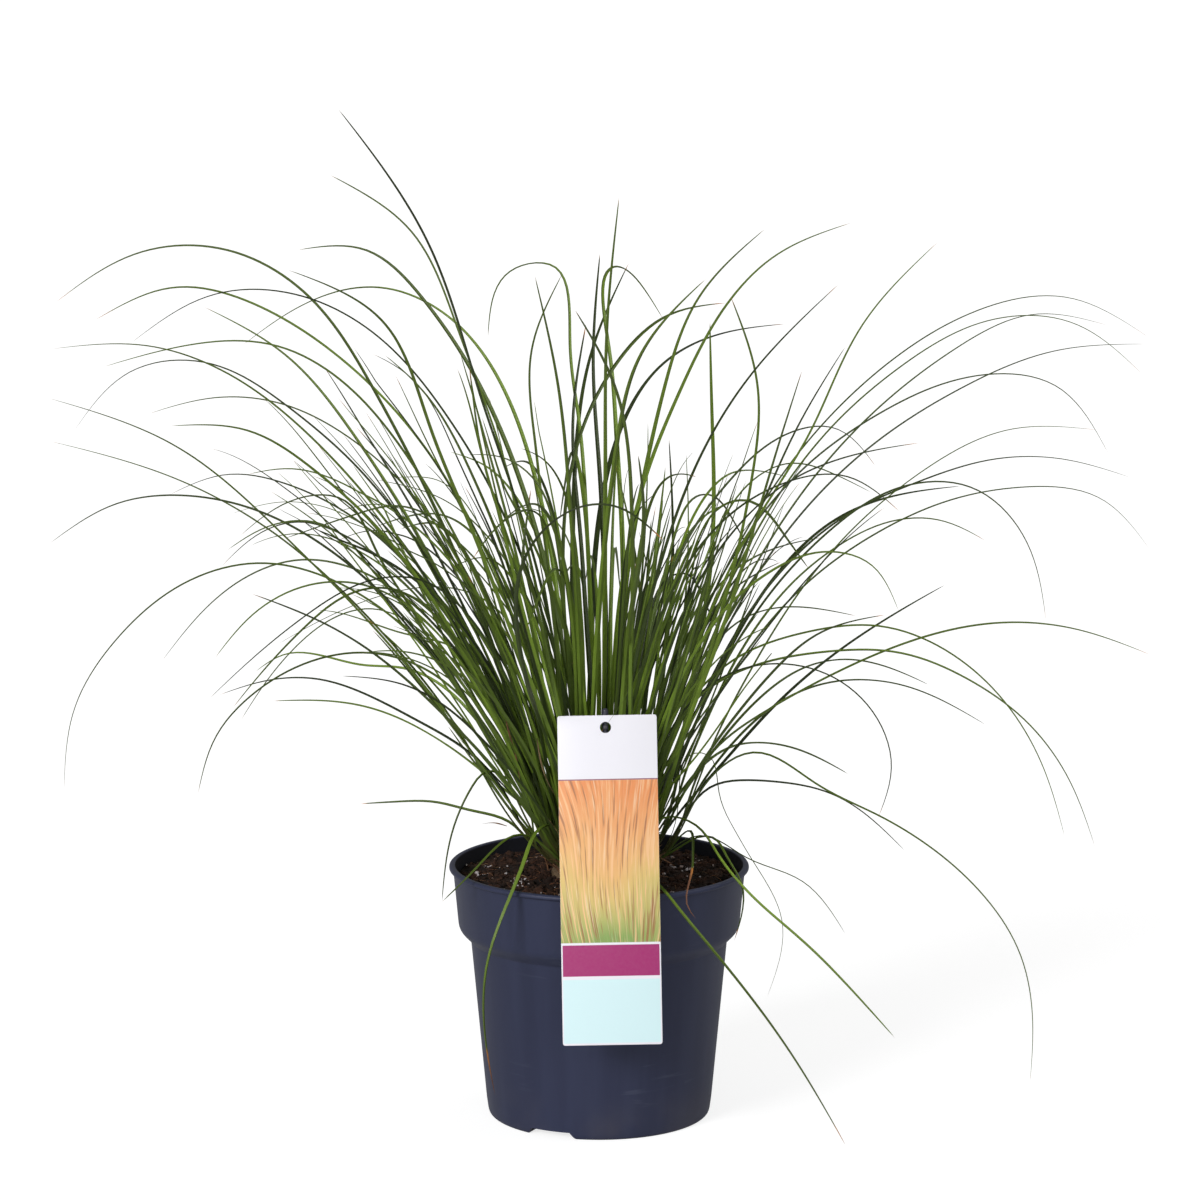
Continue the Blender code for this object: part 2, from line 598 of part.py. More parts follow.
def plan_shoot(foot, group):
    """A sheath from its foot, leaning as its leaves do, and a face of its top for each leaf."""
    lean = sum((leaf["offset"] for leaf in group), Vector()) / len(group)
    axis = lean.normalized()
    tilt = axis.angle(Vector((0.0, 0.0, 1.0)))
    if tilt > SHEATH_STEEPEST_LEAN:
        axis = Vector((0.0, 0.0, 1.0)).slerp(axis, SHEATH_STEEPEST_LEAN / tilt)
    top = foot + axis * SHEATH_LENGTH
    frame = axis.to_track_quat('Z', 'Y').to_matrix()
    spread = [frame.transposed() @ (leaf["offset"] - lean) for leaf in group]
    best = None
    for order in ((0, 1, 2), (0, 2, 1)):
        for turn in range(12):
            angles = [math.tau * (turn / 12.0 + place / 3.0) for place in order]
            score = sum(part.x * math.cos(angle) + part.y * math.sin(angle)
                        for part, angle in zip(spread, angles))
            if best is None or score > best[0]:
                best = (score, angles)
    return {"foot": foot, "top": top, "frame": frame, "leaves": group, "angles": best[1]}


def leaf_start(shoot, angle):
    """Where a leaf leaves its sheath: the middle of one third of the sheath's top."""
    outward = shoot["frame"] @ Vector((math.cos(angle), math.sin(angle), 0.0))
    return shoot["top"] + outward * 0.55 * SHEATH_TOP_RADIUS


def half_width(share):
    """A leaf's half width at this share of its length."""
    return LEAF_TIP_HALF_WIDTH + (LEAF_BASE_HALF_WIDTH - LEAF_TIP_HALF_WIDTH) * (1.0 - share) ** 0.9


def fixed_chains():
    """What the leaves keep clear of, as chains of points with a radius: lip, card edges, stick."""
    chains = []
    ring = [Vector((RIM_RADIUS * math.cos(turn), RIM_RADIUS * math.sin(turn), RIM_HEIGHT - 0.001))
            for turn in np.linspace(0.0, math.tau, POT_STEPS + 1)]
    chains.append((ring, 0.0022))
    place = card_place()
    across, up = 0.5 * CARD_WIDTH, 0.5 * CARD_HEIGHT
    corners = ((-across, -up), (-across, up), (across, up), (across, -up))
    chains.append(([place @ Vector((x, 0.0, z)) for x, z in corners], 0.0015))
    chains.append(([STAKE_FOOT, stake_top()], STAKE_RADIUS + 0.0005))
    return chains


def keep_behind_card(points):
    """Holds leaf points behind the card's outline, and lets them lean out slowly above it."""
    height = points[:, 2] - CARD_MIDDLE.z
    card_top = 0.5 * CARD_HEIGHT * math.cos(CARD_LEAN)
    back_of = np.where(height > 0.0, card_top, height)
    back = CARD_MIDDLE.y + back_of * math.tan(CARD_LEAN) + BEHIND_CARD
    limit = back - LEAN_ABOVE_CARD * np.maximum(height - card_top - CLEAR_ABOVE_CARD, 0.0)
    beside = 0.5 * (CARD_WIDTH + BEHIND_CARD) + HELD_BESIDE_CARD * np.clip(height / card_top, 0.0, 1.0)
    held = (np.abs(points[:, 0] - CARD_MIDDLE.x) < beside) & (height < card_top + HELD_ABOVE_CARD)
    points[held, 1] = np.maximum(points[held, 1], limit[held])


def nearest(start_a, end_a, start_b, end_b):
    """Shares along two sets of segments where each pair is closest."""
    leg_a, leg_b, between = end_a - start_a, end_b - start_b, start_a - start_b
    aa = np.einsum("ij,ij->i", leg_a, leg_a)
    bb = np.einsum("ij,ij->i", leg_b, leg_b)
    ab = np.einsum("ij,ij->i", leg_a, leg_b)
    a_gap = np.einsum("ij,ij->i", leg_a, between)
    b_gap = np.einsum("ij,ij->i", leg_b, between)
    slack = np.maximum(aa * bb - ab * ab, 1e-18)
    share_a = np.clip((ab * b_gap - a_gap * bb) / slack, 0.0, 1.0)
    share_b = np.clip((ab * share_a + b_gap) / bb, 0.0, 1.0)
    share_a = np.clip((ab * share_b - a_gap) / aa, 0.0, 1.0)
    return share_a, share_b


def keep_apart(shoots):
    """Moves the leaves' points a little until no two pieces touch."""
    points, radii, loose, segments, family = [], [], [], [], []

    def add_chain(chain, widths, free_from, shoot, first_kind):
        start = len(points)
        points.extend(tuple(point) for point in chain)
        radii.extend(widths)
        loose.extend(1.0 if i >= free_from else 0.0 for i in range(len(chain)))
        for i in range(len(chain) - 1):
            segments.append((start + i, start + i + 1))
            family.append((len(points), shoot, first_kind + i))
        return start

    for number, (chain, radius) in enumerate(fixed_chains()):
        add_chain(chain, [radius] * len(chain), len(chain), -1 - number, 5)
    for number, shoot in enumerate(shoots):
        add_chain([shoot["foot"], shoot["top"]], [SHEATH_FOOT_RADIUS, SHEATH_TOP_RADIUS], 2, number, 0)
        for leaf, angle in zip(shoot["leaves"], shoot["angles"]):
            start = leaf_start(shoot, angle)
            path = smooth_path([start] + leaf["knots"], leaf["segments"])
            widths = [half_width(share) for share in np.linspace(0.0, 1.0, len(path))]
            leaf["first_point"] = add_chain(path, widths, 1, number, 1)

    points, radii, loose = np.array(points), np.array(radii), np.array(loose)
    segments, family = np.array(segments), np.array(family)
    first, second = np.triu_indices(len(segments), 1)
    same_chain = family[first, 0] == family[second, 0]
    same_shoot = family[first, 1] == family[second, 1]
    at_root = np.maximum(family[first, 2], family[second, 2]) <= 1
    usable = ~(same_chain | (same_shoot & at_root))
    first, second = first[usable], second[usable]

    def gaps(first, second):
        a0, a1 = segments[first].T
        b0, b1 = segments[second].T
        at_a, at_b = nearest(points[a0], points[a1], points[b0], points[b1])
        near_a = points[a0] + (points[a1] - points[a0]) * at_a[:, None]
        near_b = points[b0] + (points[b1] - points[b0]) * at_b[:, None]
        between = near_a - near_b
        distance = np.linalg.norm(between, axis=1)
        needed = (radii[a0] + (radii[a1] - radii[a0]) * at_a
                  + radii[b0] + (radii[b1] - radii[b0]) * at_b + 1.5 * GAP)
        return at_a, at_b, between, distance, needed

    for turn in range(APART_ROUNDS):
        if turn % 10 == 0:
            *_, distance, needed = gaps(first, second)
            close = distance < needed + APART_SEARCH
            near_first, near_second = first[close], second[close]
        at_a, at_b, between, distance, needed = gaps(near_first, near_second)
        short = distance < needed
        if not short.any():
            break
        push = np.zeros_like(points)
        hits = np.zeros(len(points))
        direction = between[short] / np.maximum(distance[short], 1e-9)[:, None]
        shove = APART_DAMPING * (needed - distance)[short, None] * direction
        for picked, share, sign in ((near_first, at_a, 1.0), (near_second, at_b, -1.0)):
            start, end = segments[picked[short]].T
            share = share[short][:, None]
            spread = share ** 2 + (1.0 - share) ** 2
            np.add.at(push, start, sign * shove * (1.0 - share) / spread)
            np.add.at(push, end, sign * shove * share / spread)
            np.add.at(hits, start, 1.0)
            np.add.at(hits, end, 1.0)
        points += push * (loose / np.maximum(np.sqrt(hits), 1.0))[:, None]
        free = points[loose > 0.0]
        keep_behind_card(free)
        points[loose > 0.0] = free

    for shoot in shoots:
        for leaf in shoot["leaves"]:
            start = leaf["first_point"]
            leaf["path"] = [Vector(point) for point in points[start:start + leaf["segments"] + 1]]


def leaf_corners(place, frame, width):
    """The three corners of a leaf's section: its upper rib and its two edges."""
    across, outward = frame.col[1], frame.col[0]
    depth = LEAF_DEPTH_SHARE * width
    return [place - outward * 0.6 * depth, place + outward * 0.4 * depth - across * width,
            place + outward * 0.4 * depth + across * width]


def grow_leaf(bm, face, rib, shoot, leaf, angle):
    """Draws one third of the sheath's top out along the leaf's path to a point."""
    frame = shoot["frame"] @ Matrix.Rotation(angle, 3, 'Z')
    across = frame.col[1]
    corners = sorted(face.verts, key=lambda vert: (vert is not rib, vert.co.dot(across)))
    order = [list(face.verts).index(vert) for vert in corners]
    path = leaf["path"]
    heading = frame.col[2]
    for step in range(1, len(path)):
        ahead = path[min(step + 1, len(path) - 1)] - path[step - 1]
        frame = heading.rotation_difference(ahead.normalized()).to_matrix() @ frame
        heading = ahead.normalized()
        face = bmesh.ops.extrude_discrete_faces(bm, faces=[face])["faces"][0]
        verts = list(face.verts)
        section = leaf_corners(path[step], frame, half_width(step / (len(path) - 1)))
        for index, corner in zip(order, section):
            verts[index].co = corner
    bmesh.ops.pointmerge(bm, verts=list(face.verts), merge_co=path[-1])


def make_shoot(number, shoot, parts, material):
    """A six-sided sheath whose top runs out into its leaves."""
    def grow(bm):
        bmesh.ops.create_cone(bm, cap_ends=True, segments=6, radius1=1.0, radius2=1.0, depth=2.0)
        turn = Matrix.Rotation(shoot["angles"][0] - math.radians(30.0), 3, 'Z')
        top = next(face for face in bm.faces if all(vert.co.z > 0.0 for vert in face.verts))
        poked = bmesh.ops.poke(bm, faces=[top])
        rib = poked["verts"][0]
        for vert in bm.verts:
            side = shoot["frame"] @ turn @ Vector((vert.co.x, vert.co.y, 0.0))
            if vert.co.z < 0.0:
                flat = Vector((side.x, side.y, 0.0)).normalized()
                vert.co = shoot["foot"] + flat * SHEATH_FOOT_RADIUS
            else:
                vert.co = shoot["top"] + side * SHEATH_TOP_RADIUS
        for leaf, angle in zip(shoot["leaves"], shoot["angles"]):
            aim = leaf_start(shoot, angle)
            face = min((face for face in poked["faces"] if face.is_valid),
                       key=lambda face: (face.calc_center_median() - aim).length)
            grow_leaf(bm, face, rib, shoot, leaf, angle)

    name = f"shoot_{number:02d}"
    item = add_object(name, mesh_from(grow, name), parts, material)
    shade_round(item, 60.0)
    return item


def make_shoots(parts):
    shoots = plan_shoots()
    keep_apart(shoots)
    material = plain_material("sedge leaf", (0.075, 0.17, 0.02), 0.5)
    for number, shoot in enumerate(shoots, start=1):
        make_shoot(number, shoot, parts, material)


def main():
    clear_scene()
    parts = make_collection("potted sedge")
    cutters = make_collection("cutters")
    notches = make_notches(cutters)
    make_pot(parts, cutters, notches)
    make_soil(parts, cutters, notches)
    make_crown(parts)
    make_shoots(parts)
    make_stake(parts, cutters)
    make_label(parts, cutters)


main()
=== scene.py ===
"""Looks of the potted sedge: its leaves, peat, pot, card label and stick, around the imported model.

Metres, +Z up. The origin is the middle of the pot's underside, and the card hangs at the front, -Y.
"""
import math
import random

import bmesh
import bpy
import numpy as np
from mathutils import Matrix, Vector, noise


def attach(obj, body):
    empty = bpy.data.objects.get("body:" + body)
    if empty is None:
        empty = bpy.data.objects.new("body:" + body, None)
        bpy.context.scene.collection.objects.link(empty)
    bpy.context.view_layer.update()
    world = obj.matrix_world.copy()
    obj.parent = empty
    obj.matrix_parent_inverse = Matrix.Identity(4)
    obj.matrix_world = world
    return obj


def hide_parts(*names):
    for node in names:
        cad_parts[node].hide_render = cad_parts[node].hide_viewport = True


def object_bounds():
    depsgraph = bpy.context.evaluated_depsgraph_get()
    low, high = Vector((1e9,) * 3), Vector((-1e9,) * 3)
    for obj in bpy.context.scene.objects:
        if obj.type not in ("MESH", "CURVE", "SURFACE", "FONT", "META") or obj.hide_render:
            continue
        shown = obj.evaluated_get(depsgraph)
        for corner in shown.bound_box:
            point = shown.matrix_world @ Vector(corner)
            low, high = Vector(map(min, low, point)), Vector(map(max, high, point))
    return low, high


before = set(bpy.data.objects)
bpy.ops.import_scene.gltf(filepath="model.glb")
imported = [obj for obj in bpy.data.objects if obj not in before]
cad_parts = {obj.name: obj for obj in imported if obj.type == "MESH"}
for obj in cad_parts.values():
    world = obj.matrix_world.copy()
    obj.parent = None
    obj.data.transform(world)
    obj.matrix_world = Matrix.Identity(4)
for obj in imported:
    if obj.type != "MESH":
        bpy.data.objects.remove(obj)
cad_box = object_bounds()

UP = Vector((0.0, 0.0, 1.0))
RIGHT = Vector((1.0, 0.0, 0.0))

# Pot: one thin moulding, measured on its outside
POT_STEPS = 144
WALL = 0.0012
GAP = 0.0003
RIM_RADIUS = 0.095
RIM_HEIGHT = 0.164
LIP_OUT = 0.0013
LIP_TALL = 0.0034
LIP_FLAT = 0.0012
LIP_ROUND = 0.001
LIP_FOOT_ROUND = 0.0006
BAND_TOP_RADIUS = 0.0937
BAND_FOOT_RADIUS = 0.0903
BAND_FOOT_HEIGHT = 0.1244
SHOULDER_DROP = 0.0018
SHOULDER_ROUND = 0.0036
BODY_TOP_RADIUS = 0.0823
BODY_TOP_HEIGHT = 0.1154
BODY_FOOT_RADIUS = 0.0727
BODY_FOOT_HEIGHT = 0.01
BODY_ROUND = 0.004
FOOT_RADIUS = 0.0687
STAND_OUT = 0.001
HEEL_OUT = 0.0028
HEEL_HEIGHT = 0.0016
HEEL_ROUND = 0.0024
EDGE_ROUND = 0.0008
TUCK = 0.0002
INNER_HEEL_ROUND = 0.002
INNER_BODY_ROUND = 0.003
INNER_STEP_ROUND = 0.0015
STAND_INNER_RADIUS = 0.056
PAD_RADIUS = 0.028
CHANNEL_RISE = 0.005
CHANNEL_ROUND = 0.0012
DRAIN_HOLES = 6
DRAIN_HOLE_RADIUS = 0.0045
DRAIN_HOLE_RING = 0.042
NOTCH_WIDTH = 0.027
NOTCH_HEIGHT = 0.0045
NOTCH_DEPTH = 0.024
NOTCH_SPLAY = 1.5
NOTCH_ANGLES = (math.radians(244.0), math.radians(64.0))
DUST_HEIGHT = 0.035
# Where the painted shade on the band's inside fades out: below the rim, and above the band's foot
SHADE_TOP_FADE = 0.0015
SHADE_FOOT_FADE = (0.004, 0.006)

# Peat and rootstock
SOIL_EDGE_DROP = 0.0095
SOIL_EDGE_STEP = 0.0008
SOIL_FILL = 0.7
SOIL_MOUND = 0.0035
SOIL_RELIEF = 0.0024
SOIL_WAVES = 55.0
SOIL_RING_STEP = 0.002
CROWN_CENTRE = Vector((0.003, 0.0, 0.0))
CROWN_RADIUS = 0.035
CROWN_TOP = 0.162
CROWN_SUNK = 0.016
CROWN_ROUND = 0.006
CROWN_EDGE = 0.004
OLD_SHEATHS = 150
SHEATH_SUNK = 0.004
SHEATH_LENGTHS = (0.008, 0.026)
SHEATH_WIDTHS = (0.001, 0.0024)
PEAT_FIBRES = 190
FIBRE_STEPS = (0.0015, 0.005)
FIBRE_LIFTS = (0.0004, 0.0026)
FIBRE_WIDTHS = (0.00012, 0.0003)
FIBRE_MARGIN = 0.008
FIBRE_START = 0.0008
FIBRE_ROOM = 0.003

# Loose peat: name, count, sizes in metres, fineness, how far they sit above the soil in sizes, tints
PEAT_LUMPS = (
    ("soil_crumbs", 2700, (0.0004, 0.0011), 1, (-0.1, 0.6), (0.0, 0.35)),
    ("soil_lumps", 900, (0.0009, 0.0022), 2, (-0.3, 0.5), (0.0, 0.40)),
    ("soil_clods", 240, (0.0018, 0.0036), 3, (-0.5, 0.1), (0.0, 0.30)),
)
PERLITE_LUMPS = ("perlite_grains", 210, (0.0004, 0.0011), 2, (0.5, 1.3), (0.0, 1.0))
PERLITE_CLUSTERS = 16
CLUSTER_MARGIN = 0.01
CLUSTER_RADIUS = 0.006
STRAY_SHARE = 0.06
BATCH = 30
LUMP_GRADES = (0.6, 0.8, 1.0, 1.0, 1.25)
LUMP_STRETCH = ((0.8, 1.5), (0.7, 1.1), (0.55, 0.9))

# Leaves: widths and tints are shares, and a fold is the rise of a blade's edges at its foot and above
BLADE_LAYERS = ("tint", "dried", "under")
LEAF_ACROSS = 4
LEAF_STEP = 0.0055
LEAF_STEPS = (20, 110)
LEAF_HALF_WIDTH = 0.00178
LEAF_THICKNESS = 0.00032
LEAF_FOLD = (1.1, 0.7)
FOOT_WIDTH = 0.38
WIDEST_AT = 0.35
TAPER = 0.4
ARCH_REACH = 0.15
ARCH_TAPER = 0.9
PACKED_WIDTHS = (0.8, 1.15)
FINER_WIDTHS = (0.55, 1.05)
DRIED_ENDS = (0.002, 0.004, 0.006, 0.01, 0.02)
# A share of the leaves is near-black: partly the leaves' own varied green, partly painted shade standing in
# for leaves in shadow
DARK_LEAVES = 0.22
DARK_TINTS = (0.0, 0.12)
BRIGHT_TINTS = (0.34, 1.0)
SHEATH_FOOT_RADIUS = 0.0031
SHARP_TURN = math.radians(12.0)
MOST_TURN = math.radians(115.0)
BLADE_WELD = 0.0000004
SHOOT_WELD = 0.00002
AXIS_WELD = 0.000005

# Leaves whose tips are low, high or far to the right have widths and tints of their own
LOW_TIP = 0.224
LOW_WIDTHS = (0.45, 0.7)
LOW_TINTS = (0.1, 0.45)
HIGH_TIP = 0.46
HIGH_WIDENING = 1.22
RIGHT_REACH = 0.13
RIGHT_THINNING = 0.88
RIGHT_TINTS = (0.05, 0.12, 0.35, 0.5, 0.65, 0.8)

# Finer leaves: their lean in the picture in degrees from upright, how many, shortest and longest reach
# in the picture, and how far they are straightened, from 0 to 1
FINER_LEAVES = (
    (-79, 3, 140, 170, 0.0),
    (-69, 12, 150, 290, 0.0),
    (-60, 14, 190, 350, 0.0),
    (-50, 26, 210, 470, 0.1),
    (-50, 14, 380, 500, 0.1),
    (-40, 16, 250, 450, 0.3),
    (-40, 10, 380, 500, 0.3),
    (-30, 10, 170, 360, 0.3),
    (-30, 6, 400, 490, 0.2),
    (-20, 8, 320, 450, 0.4),
    (12, 8, 230, 340, 0.6),
    (20, 27, 190, 330, 0.7),
    (30, 10, 200, 380, 0.6),
    (40, 30, 190, 390, 0.4),
    (50, 3, 130, 230, 0.2),
)
FAN_MIDDLE = Vector((0.0044, 0.0, 0.241))
LEAN_SPREAD = 3.5
LEAN_REACH = 0.6
HOST_SPREAD = 15.0
START_SPREAD = 0.005
TILT_SPREAD = 0.12
BEND_SPREAD = (0.12, 0.1)
BEND_RISE = (-0.22, 0.12)
BEND_LENGTH = 0.3
FEWEST_POINTS = 12

# Short leaves right of the middle end before they bend over: where their tips lie, and their turn
BENT_TIPS = Vector((0.055, 0.0, 0.345))
BENT_TIPS_REACH = 0.05
BENT_TIPS_TURN = math.radians(65.0)

# Card label and the stick that holds it
CARD_WIDTH = 0.062
CARD_HEIGHT = 0.205
CARD_THICKNESS = 0.0008
CARD_CORNER = 0.0016
CARD_EDGE = 0.00018
CARD_MIDDLE = Vector((0.0067, -0.095, 0.1752))
CARD_LEAN = math.radians(12.5)
CARD_ROLL = math.radians(-1.03)
CARD_HOLE_RADIUS = 0.0035
CARD_HOLE_DOWN = 0.0076
CARD_HOLE_LEFT = 0.001
CARD_PUNCH = 0.01
CARD_HOLE = Vector((-CARD_HOLE_LEFT, 0.0, 0.5 * CARD_HEIGHT - CARD_HOLE_DOWN))
CARD_PLACE = (Matrix.Translation(CARD_MIDDLE) @ Matrix.Rotation(-CARD_LEAN, 4, 'X')
              @ Matrix.Rotation(CARD_ROLL, 4, 'Y'))
STAKE_RADIUS = 0.002
STAKE_STAND_OFF = 0.003
STAKE_ABOVE_CARD = 0.0045
STAKE_FOOT = Vector((0.0045, -0.0795, 0.118))
PEG_RADIUS = 0.0017
PEG_PAST_CARD = 0.0016
PEG_NOSE = 0.0012
PEG_ROUND = 0.0006

# Print on the card: shares of its height from the top, and of its width from the middle
RULE_TOP = 0.1935
PICTURE_TOP = 0.197
PICTURE_FOOT = 0.69
MAGENTA_PANEL = (0.697, 0.7915)
CYAN_PANEL = (0.8015, 0.9935)
PANEL_SIDES = (0.488, 0.4845)
PRINT_SOFTNESS = 0.0008

# Free room that finer leaves and sheaths leave around the card and over the pot
CARD_SIDE_ROOM = 0.004
CARD_TOP_ROOM = 0.03
CARD_BACK_ROOM = 0.006
RIM_ROOM = 0.005
CROWN_ROOM = 0.012

# The picture that small things are placed by: a square seen from -Y, looking slightly down
PICTURE_MIDDLE = 600.0
PICTURE_SIDE = 1200.0
FOCAL_PIXELS = 4785.0
VIEWPOINT = Vector((0.0006, -3.0, 0.858))
VIEW_DOWN = math.radians(9.88)
VIEW_AHEAD = Vector((0.0, math.cos(VIEW_DOWN), -math.sin(VIEW_DOWN)))
VIEW_UP = Vector((0.0, math.sin(VIEW_DOWN), math.cos(VIEW_DOWN)))
SENSOR_WIDTH = 36.0

# Leaves that stand out: the tip's place in the picture, the dried share of the length, width and tint
TIP_NEARNESS = 7.0
NOTED_LEAVES = (
    ((495, 1095), 0.13, 1.05, 0.60),
    ((441, 903), 0.01, 0.85, 0.36),
    ((696, 919), 0.30, 0.60, 0.22),
    ((360, 804), 0.03, 1.00, 0.40),
    ((846, 1146), 0.05, 0.95, 0.48),
    ((734, 941), 0.06, 0.80, 0.40),
    ((252, 594), 0.02, 1.35, 0.25),
    ((770, 992), 0.01, 0.34, 0.80),
    ((64, 787), 0.01, 0.98, 0.55),
    ((1152, 653), 0.02, 1.00, 0.60),
    ((1030, 1083), 0.01, 0.80, 0.50),
)

# Light that comes evenly from all round, and the floor: its paint, and how far it is lifted to white
AMBIENT = 0.3
FLOOR_SHADE = 0.42
FLOOR_GLOW = 0.77
FLOOR_FILL = 0.14
FLOOR_REACH = 60.0

# Soft suns: name, strength, softness in degrees, and the direction that they shine along
SUNS = (
    ("key light", 2.0, 20.0, (0.60, 0.80, -0.50)),
    ("front light", 1.0, 60.0, (-0.10, 0.97, -0.10)),
    ("side light", 0.45, 50.0, (-0.9, -0.25, -0.8)),
)

# Dry strands: half width in metres, redness, then picture places with their depths in metres
DRY_STRANDS = (
    (0.0007, 0.75, ((505, 716, -0.036), (509, 733, -0.040), (516, 758, -0.042), (520, 782, -0.040))),
    (0.0004, 0.20, ((579, 621, -0.040), (581, 640, -0.042), (578, 652, -0.043), (571, 666, -0.044))),
    (0.0006, 0.15, ((537, 738, -0.052), (539, 752, -0.054), (545, 776, -0.055), (556, 797, -0.050))),
    (0.0005, 0.65, ((659, 857, -0.056), (668, 862, -0.060), (678, 868, -0.063))),
    (0.0006, 0.45, ((507, 826, -0.030), (494, 823, -0.032), (481, 824, -0.034))),
    (0.0004, 0.30, ((541, 812, -0.045), (552, 824, -0.050), (561, 838, -0.052))),
)

# The fine blade that lies over the card's hole, by picture places with their depths in metres
HOLE_BLADE = ((668, 560, -0.02), (652, 640, -0.05), (628, 692, -0.068), (613, 716, -0.0752),
              (605, 727, -0.0790), (597, 738, -0.0800))
HOLE_BLADE_START = Vector((0.012, -0.012, CROWN_TOP))
HOLE_BLADE_RISE = Vector((0.016, -0.004, 0.09))
HOLE_BLADE_WIDTH = 0.0012


def maths(operation):
    """A method of Wire that adds this Math node."""
    def method(self, *others):
        sockets = dict(enumerate((self,) + others))
        return self.finish.node("Math", {"operation": operation}, sockets)
    return method


class Wire:
    """One value in a material. Sums, products and the like add their nodes."""
    __add__ = __radd__ = maths('ADD')
    __sub__ = maths('SUBTRACT')
    __mul__ = __rmul__ = maths('MULTIPLY')
    __truediv__ = maths('DIVIDE')
    __pow__ = maths('POWER')
    __abs__ = maths('ABSOLUTE')
    sine = maths('SINE')

    def __init__(self, finish, socket):
        self.finish = finish
        self.socket = socket

    def __rsub__(self, other):
        return self.finish.node("Math", {"operation": 'SUBTRACT'}, {0: other, 1: self})

    def noise(self, scale, detail=2.0, roughness=0.5, distortion=0.0):
        return self.finish.node("TexNoise", {}, dict(
            Vector=self, Scale=scale, Detail=detail, Roughness=roughness, Distortion=distortion))

    def ease(self, low, high):
        """Zero at low and one at high, with a smooth step between."""
        return self.finish.node("MapRange", {"interpolation_type": 'SMOOTHSTEP'},
                                {0: self, 1: low, 2: high})


class Finish:
    """A material around one Principled shader, wired by expressions."""

    def __init__(self, name, specular, **fixed):
        self.material = bpy.data.materials.new(name)
        self.material.use_nodes = True
        self.tree = self.material.node_tree
        self.shader = self.tree.nodes["Principled BSDF"]
        self.shader.inputs["Specular IOR Level"].default_value = specular
        for socket, value in fixed.items():
            self.shader.inputs[socket.replace("_", " ").title()].default_value = value

    def feed(self, socket, value):
        if isinstance(value, Wire):
            self.tree.links.new(value.socket, socket)
        elif isinstance(value, tuple) and socket.type == 'RGBA':
            socket.default_value = (*value, 1.0)
        else:
            socket.default_value = value

    def node(self, kind, settings, sockets, out=0):
        """Adds a shader node: its settings first, then its sockets' values or links."""
        node = self.tree.nodes.new("ShaderNode" + kind)
        for name, value in settings.items():
            setattr(node, name, value)
        for key, value in sockets.items():
            self.feed(node.inputs[key], value)
        return Wire(self, node.outputs[out])

    def place(self, stretch=(1.0, 1.0, 1.0)):
        """The point on the piece in metres, stretched along each axis."""
        point = self.node("TexCoord", {}, {}, out=3)
        return self.node("VectorMath", {"operation": 'MULTIPLY'}, {0: point, 1: stretch})

    def uv(self, axis):
        mapped = self.node("UVMap", {"uv_map": "UVMap"}, {})
        return self.node("SeparateXYZ", {}, {0: mapped}, out=axis)

    def attribute(self, name):
        return self.node("Attribute", {"attribute_name": name}, {}, out=2)

    def plane(self, x, y):
        return self.node("CombineXYZ", {}, {0: x, 1: y})

    def mix(self, factor, first, second):
        return self.node("Mix", {"data_type": 'RGBA'}, {0: factor, 6: first, 7: second}, out=2)

    def coats(self, colour, *coats):
        """Lays coats of (mask, colour) one over the other."""
        for mask, coat in coats:
            colour = self.mix(mask, colour, coat)
        return colour

    def ramp(self, factor, *stops):
        wire = self.node("ValToRGB", {}, {0: factor})
        elements = wire.socket.node.color_ramp.elements
        while len(elements) < len(stops):
            elements.new(0.5)
        for element, (position, colour) in zip(elements, stops):
            element.position = position
            element.color = (*colour, 1.0)
        return wire

    def paint(self, colour, roughness):
        self.feed(self.shader.inputs["Base Color"], colour)
        self.feed(self.shader.inputs["Roughness"], roughness)

    def embossed(self, height, depth, strength):
        """The material, with its surface raised by height times this depth in metres."""
        normal = self.node("Bump", {}, dict(Strength=strength, Distance=depth, Height=height))
        self.feed(self.shader.inputs["Normal"], normal)
        return self.material


def pot_plastic():
    """Navy-grey moulded plastic: drawn streaks, a fine grain, pale scuffs, a dusty foot, and painted shade
    that darkens the band's inside above the soil.
    """
    finish = Finish("pot plastic", 0.28)
    point = finish.place()
    streaks = finish.place((70.0, 70.0, 5.0)).noise(1.0, detail=3.0)
    clouds = point.noise(24.0, detail=4.0)
    grain = point.noise(1500.0)
    rubbed = finish.place((26.0, 26.0, 300.0)).noise(1.0, detail=4.0, distortion=0.6)
    patches = point.noise(17.0).ease(0.52, 0.68)
    scuffs = rubbed.ease(0.60, 0.72) * patches
    height = finish.node("SeparateXYZ", {}, {0: point}, out=2)
    dust = height.ease(DUST_HEIGHT, 0.0) * clouds.ease(0.35, 0.75)
    radius = finish.node("VectorMath", {"operation": 'LENGTH'},
                         {0: finish.place((1.0, 1.0, 0.0))}, out=1)
    flare = (BAND_TOP_RADIUS - BAND_FOOT_RADIUS) / (RIM_HEIGHT - BAND_FOOT_HEIGHT)
    depth = BAND_FOOT_RADIUS + (height - BAND_FOOT_HEIGHT) * flare - radius
    # Painted shade: the band's inside, from its foot up to the rim, is darkened to near-black.
    inside = (depth.ease(0.4 * WALL, 0.9 * WALL) * height.ease(RIM_HEIGHT, RIM_HEIGHT - SHADE_TOP_FADE)
              * height.ease(*[BAND_FOOT_HEIGHT + fade for fade in SHADE_FOOT_FADE]))
    colour = finish.coats(
        (0.0235, 0.028, 0.061),
        (streaks.ease(0.35, 0.65), (0.028, 0.0333, 0.070)),
        (clouds * 0.30, (0.033, 0.039, 0.076)),
        (scuffs * 0.30, (0.085, 0.095, 0.14)),
        (dust * 0.18, (0.13, 0.11, 0.10)),
        (inside * (0.75 + 0.2 * clouds), (0.0055, 0.0050, 0.0052)))
    finish.paint(colour, 0.40 + 0.10 * clouds + 0.14 * scuffs + 0.25 * inside)
    return finish.embossed(grain * 0.5 + streaks * 0.5 + scuffs * 0.4, 0.00012, 0.35)


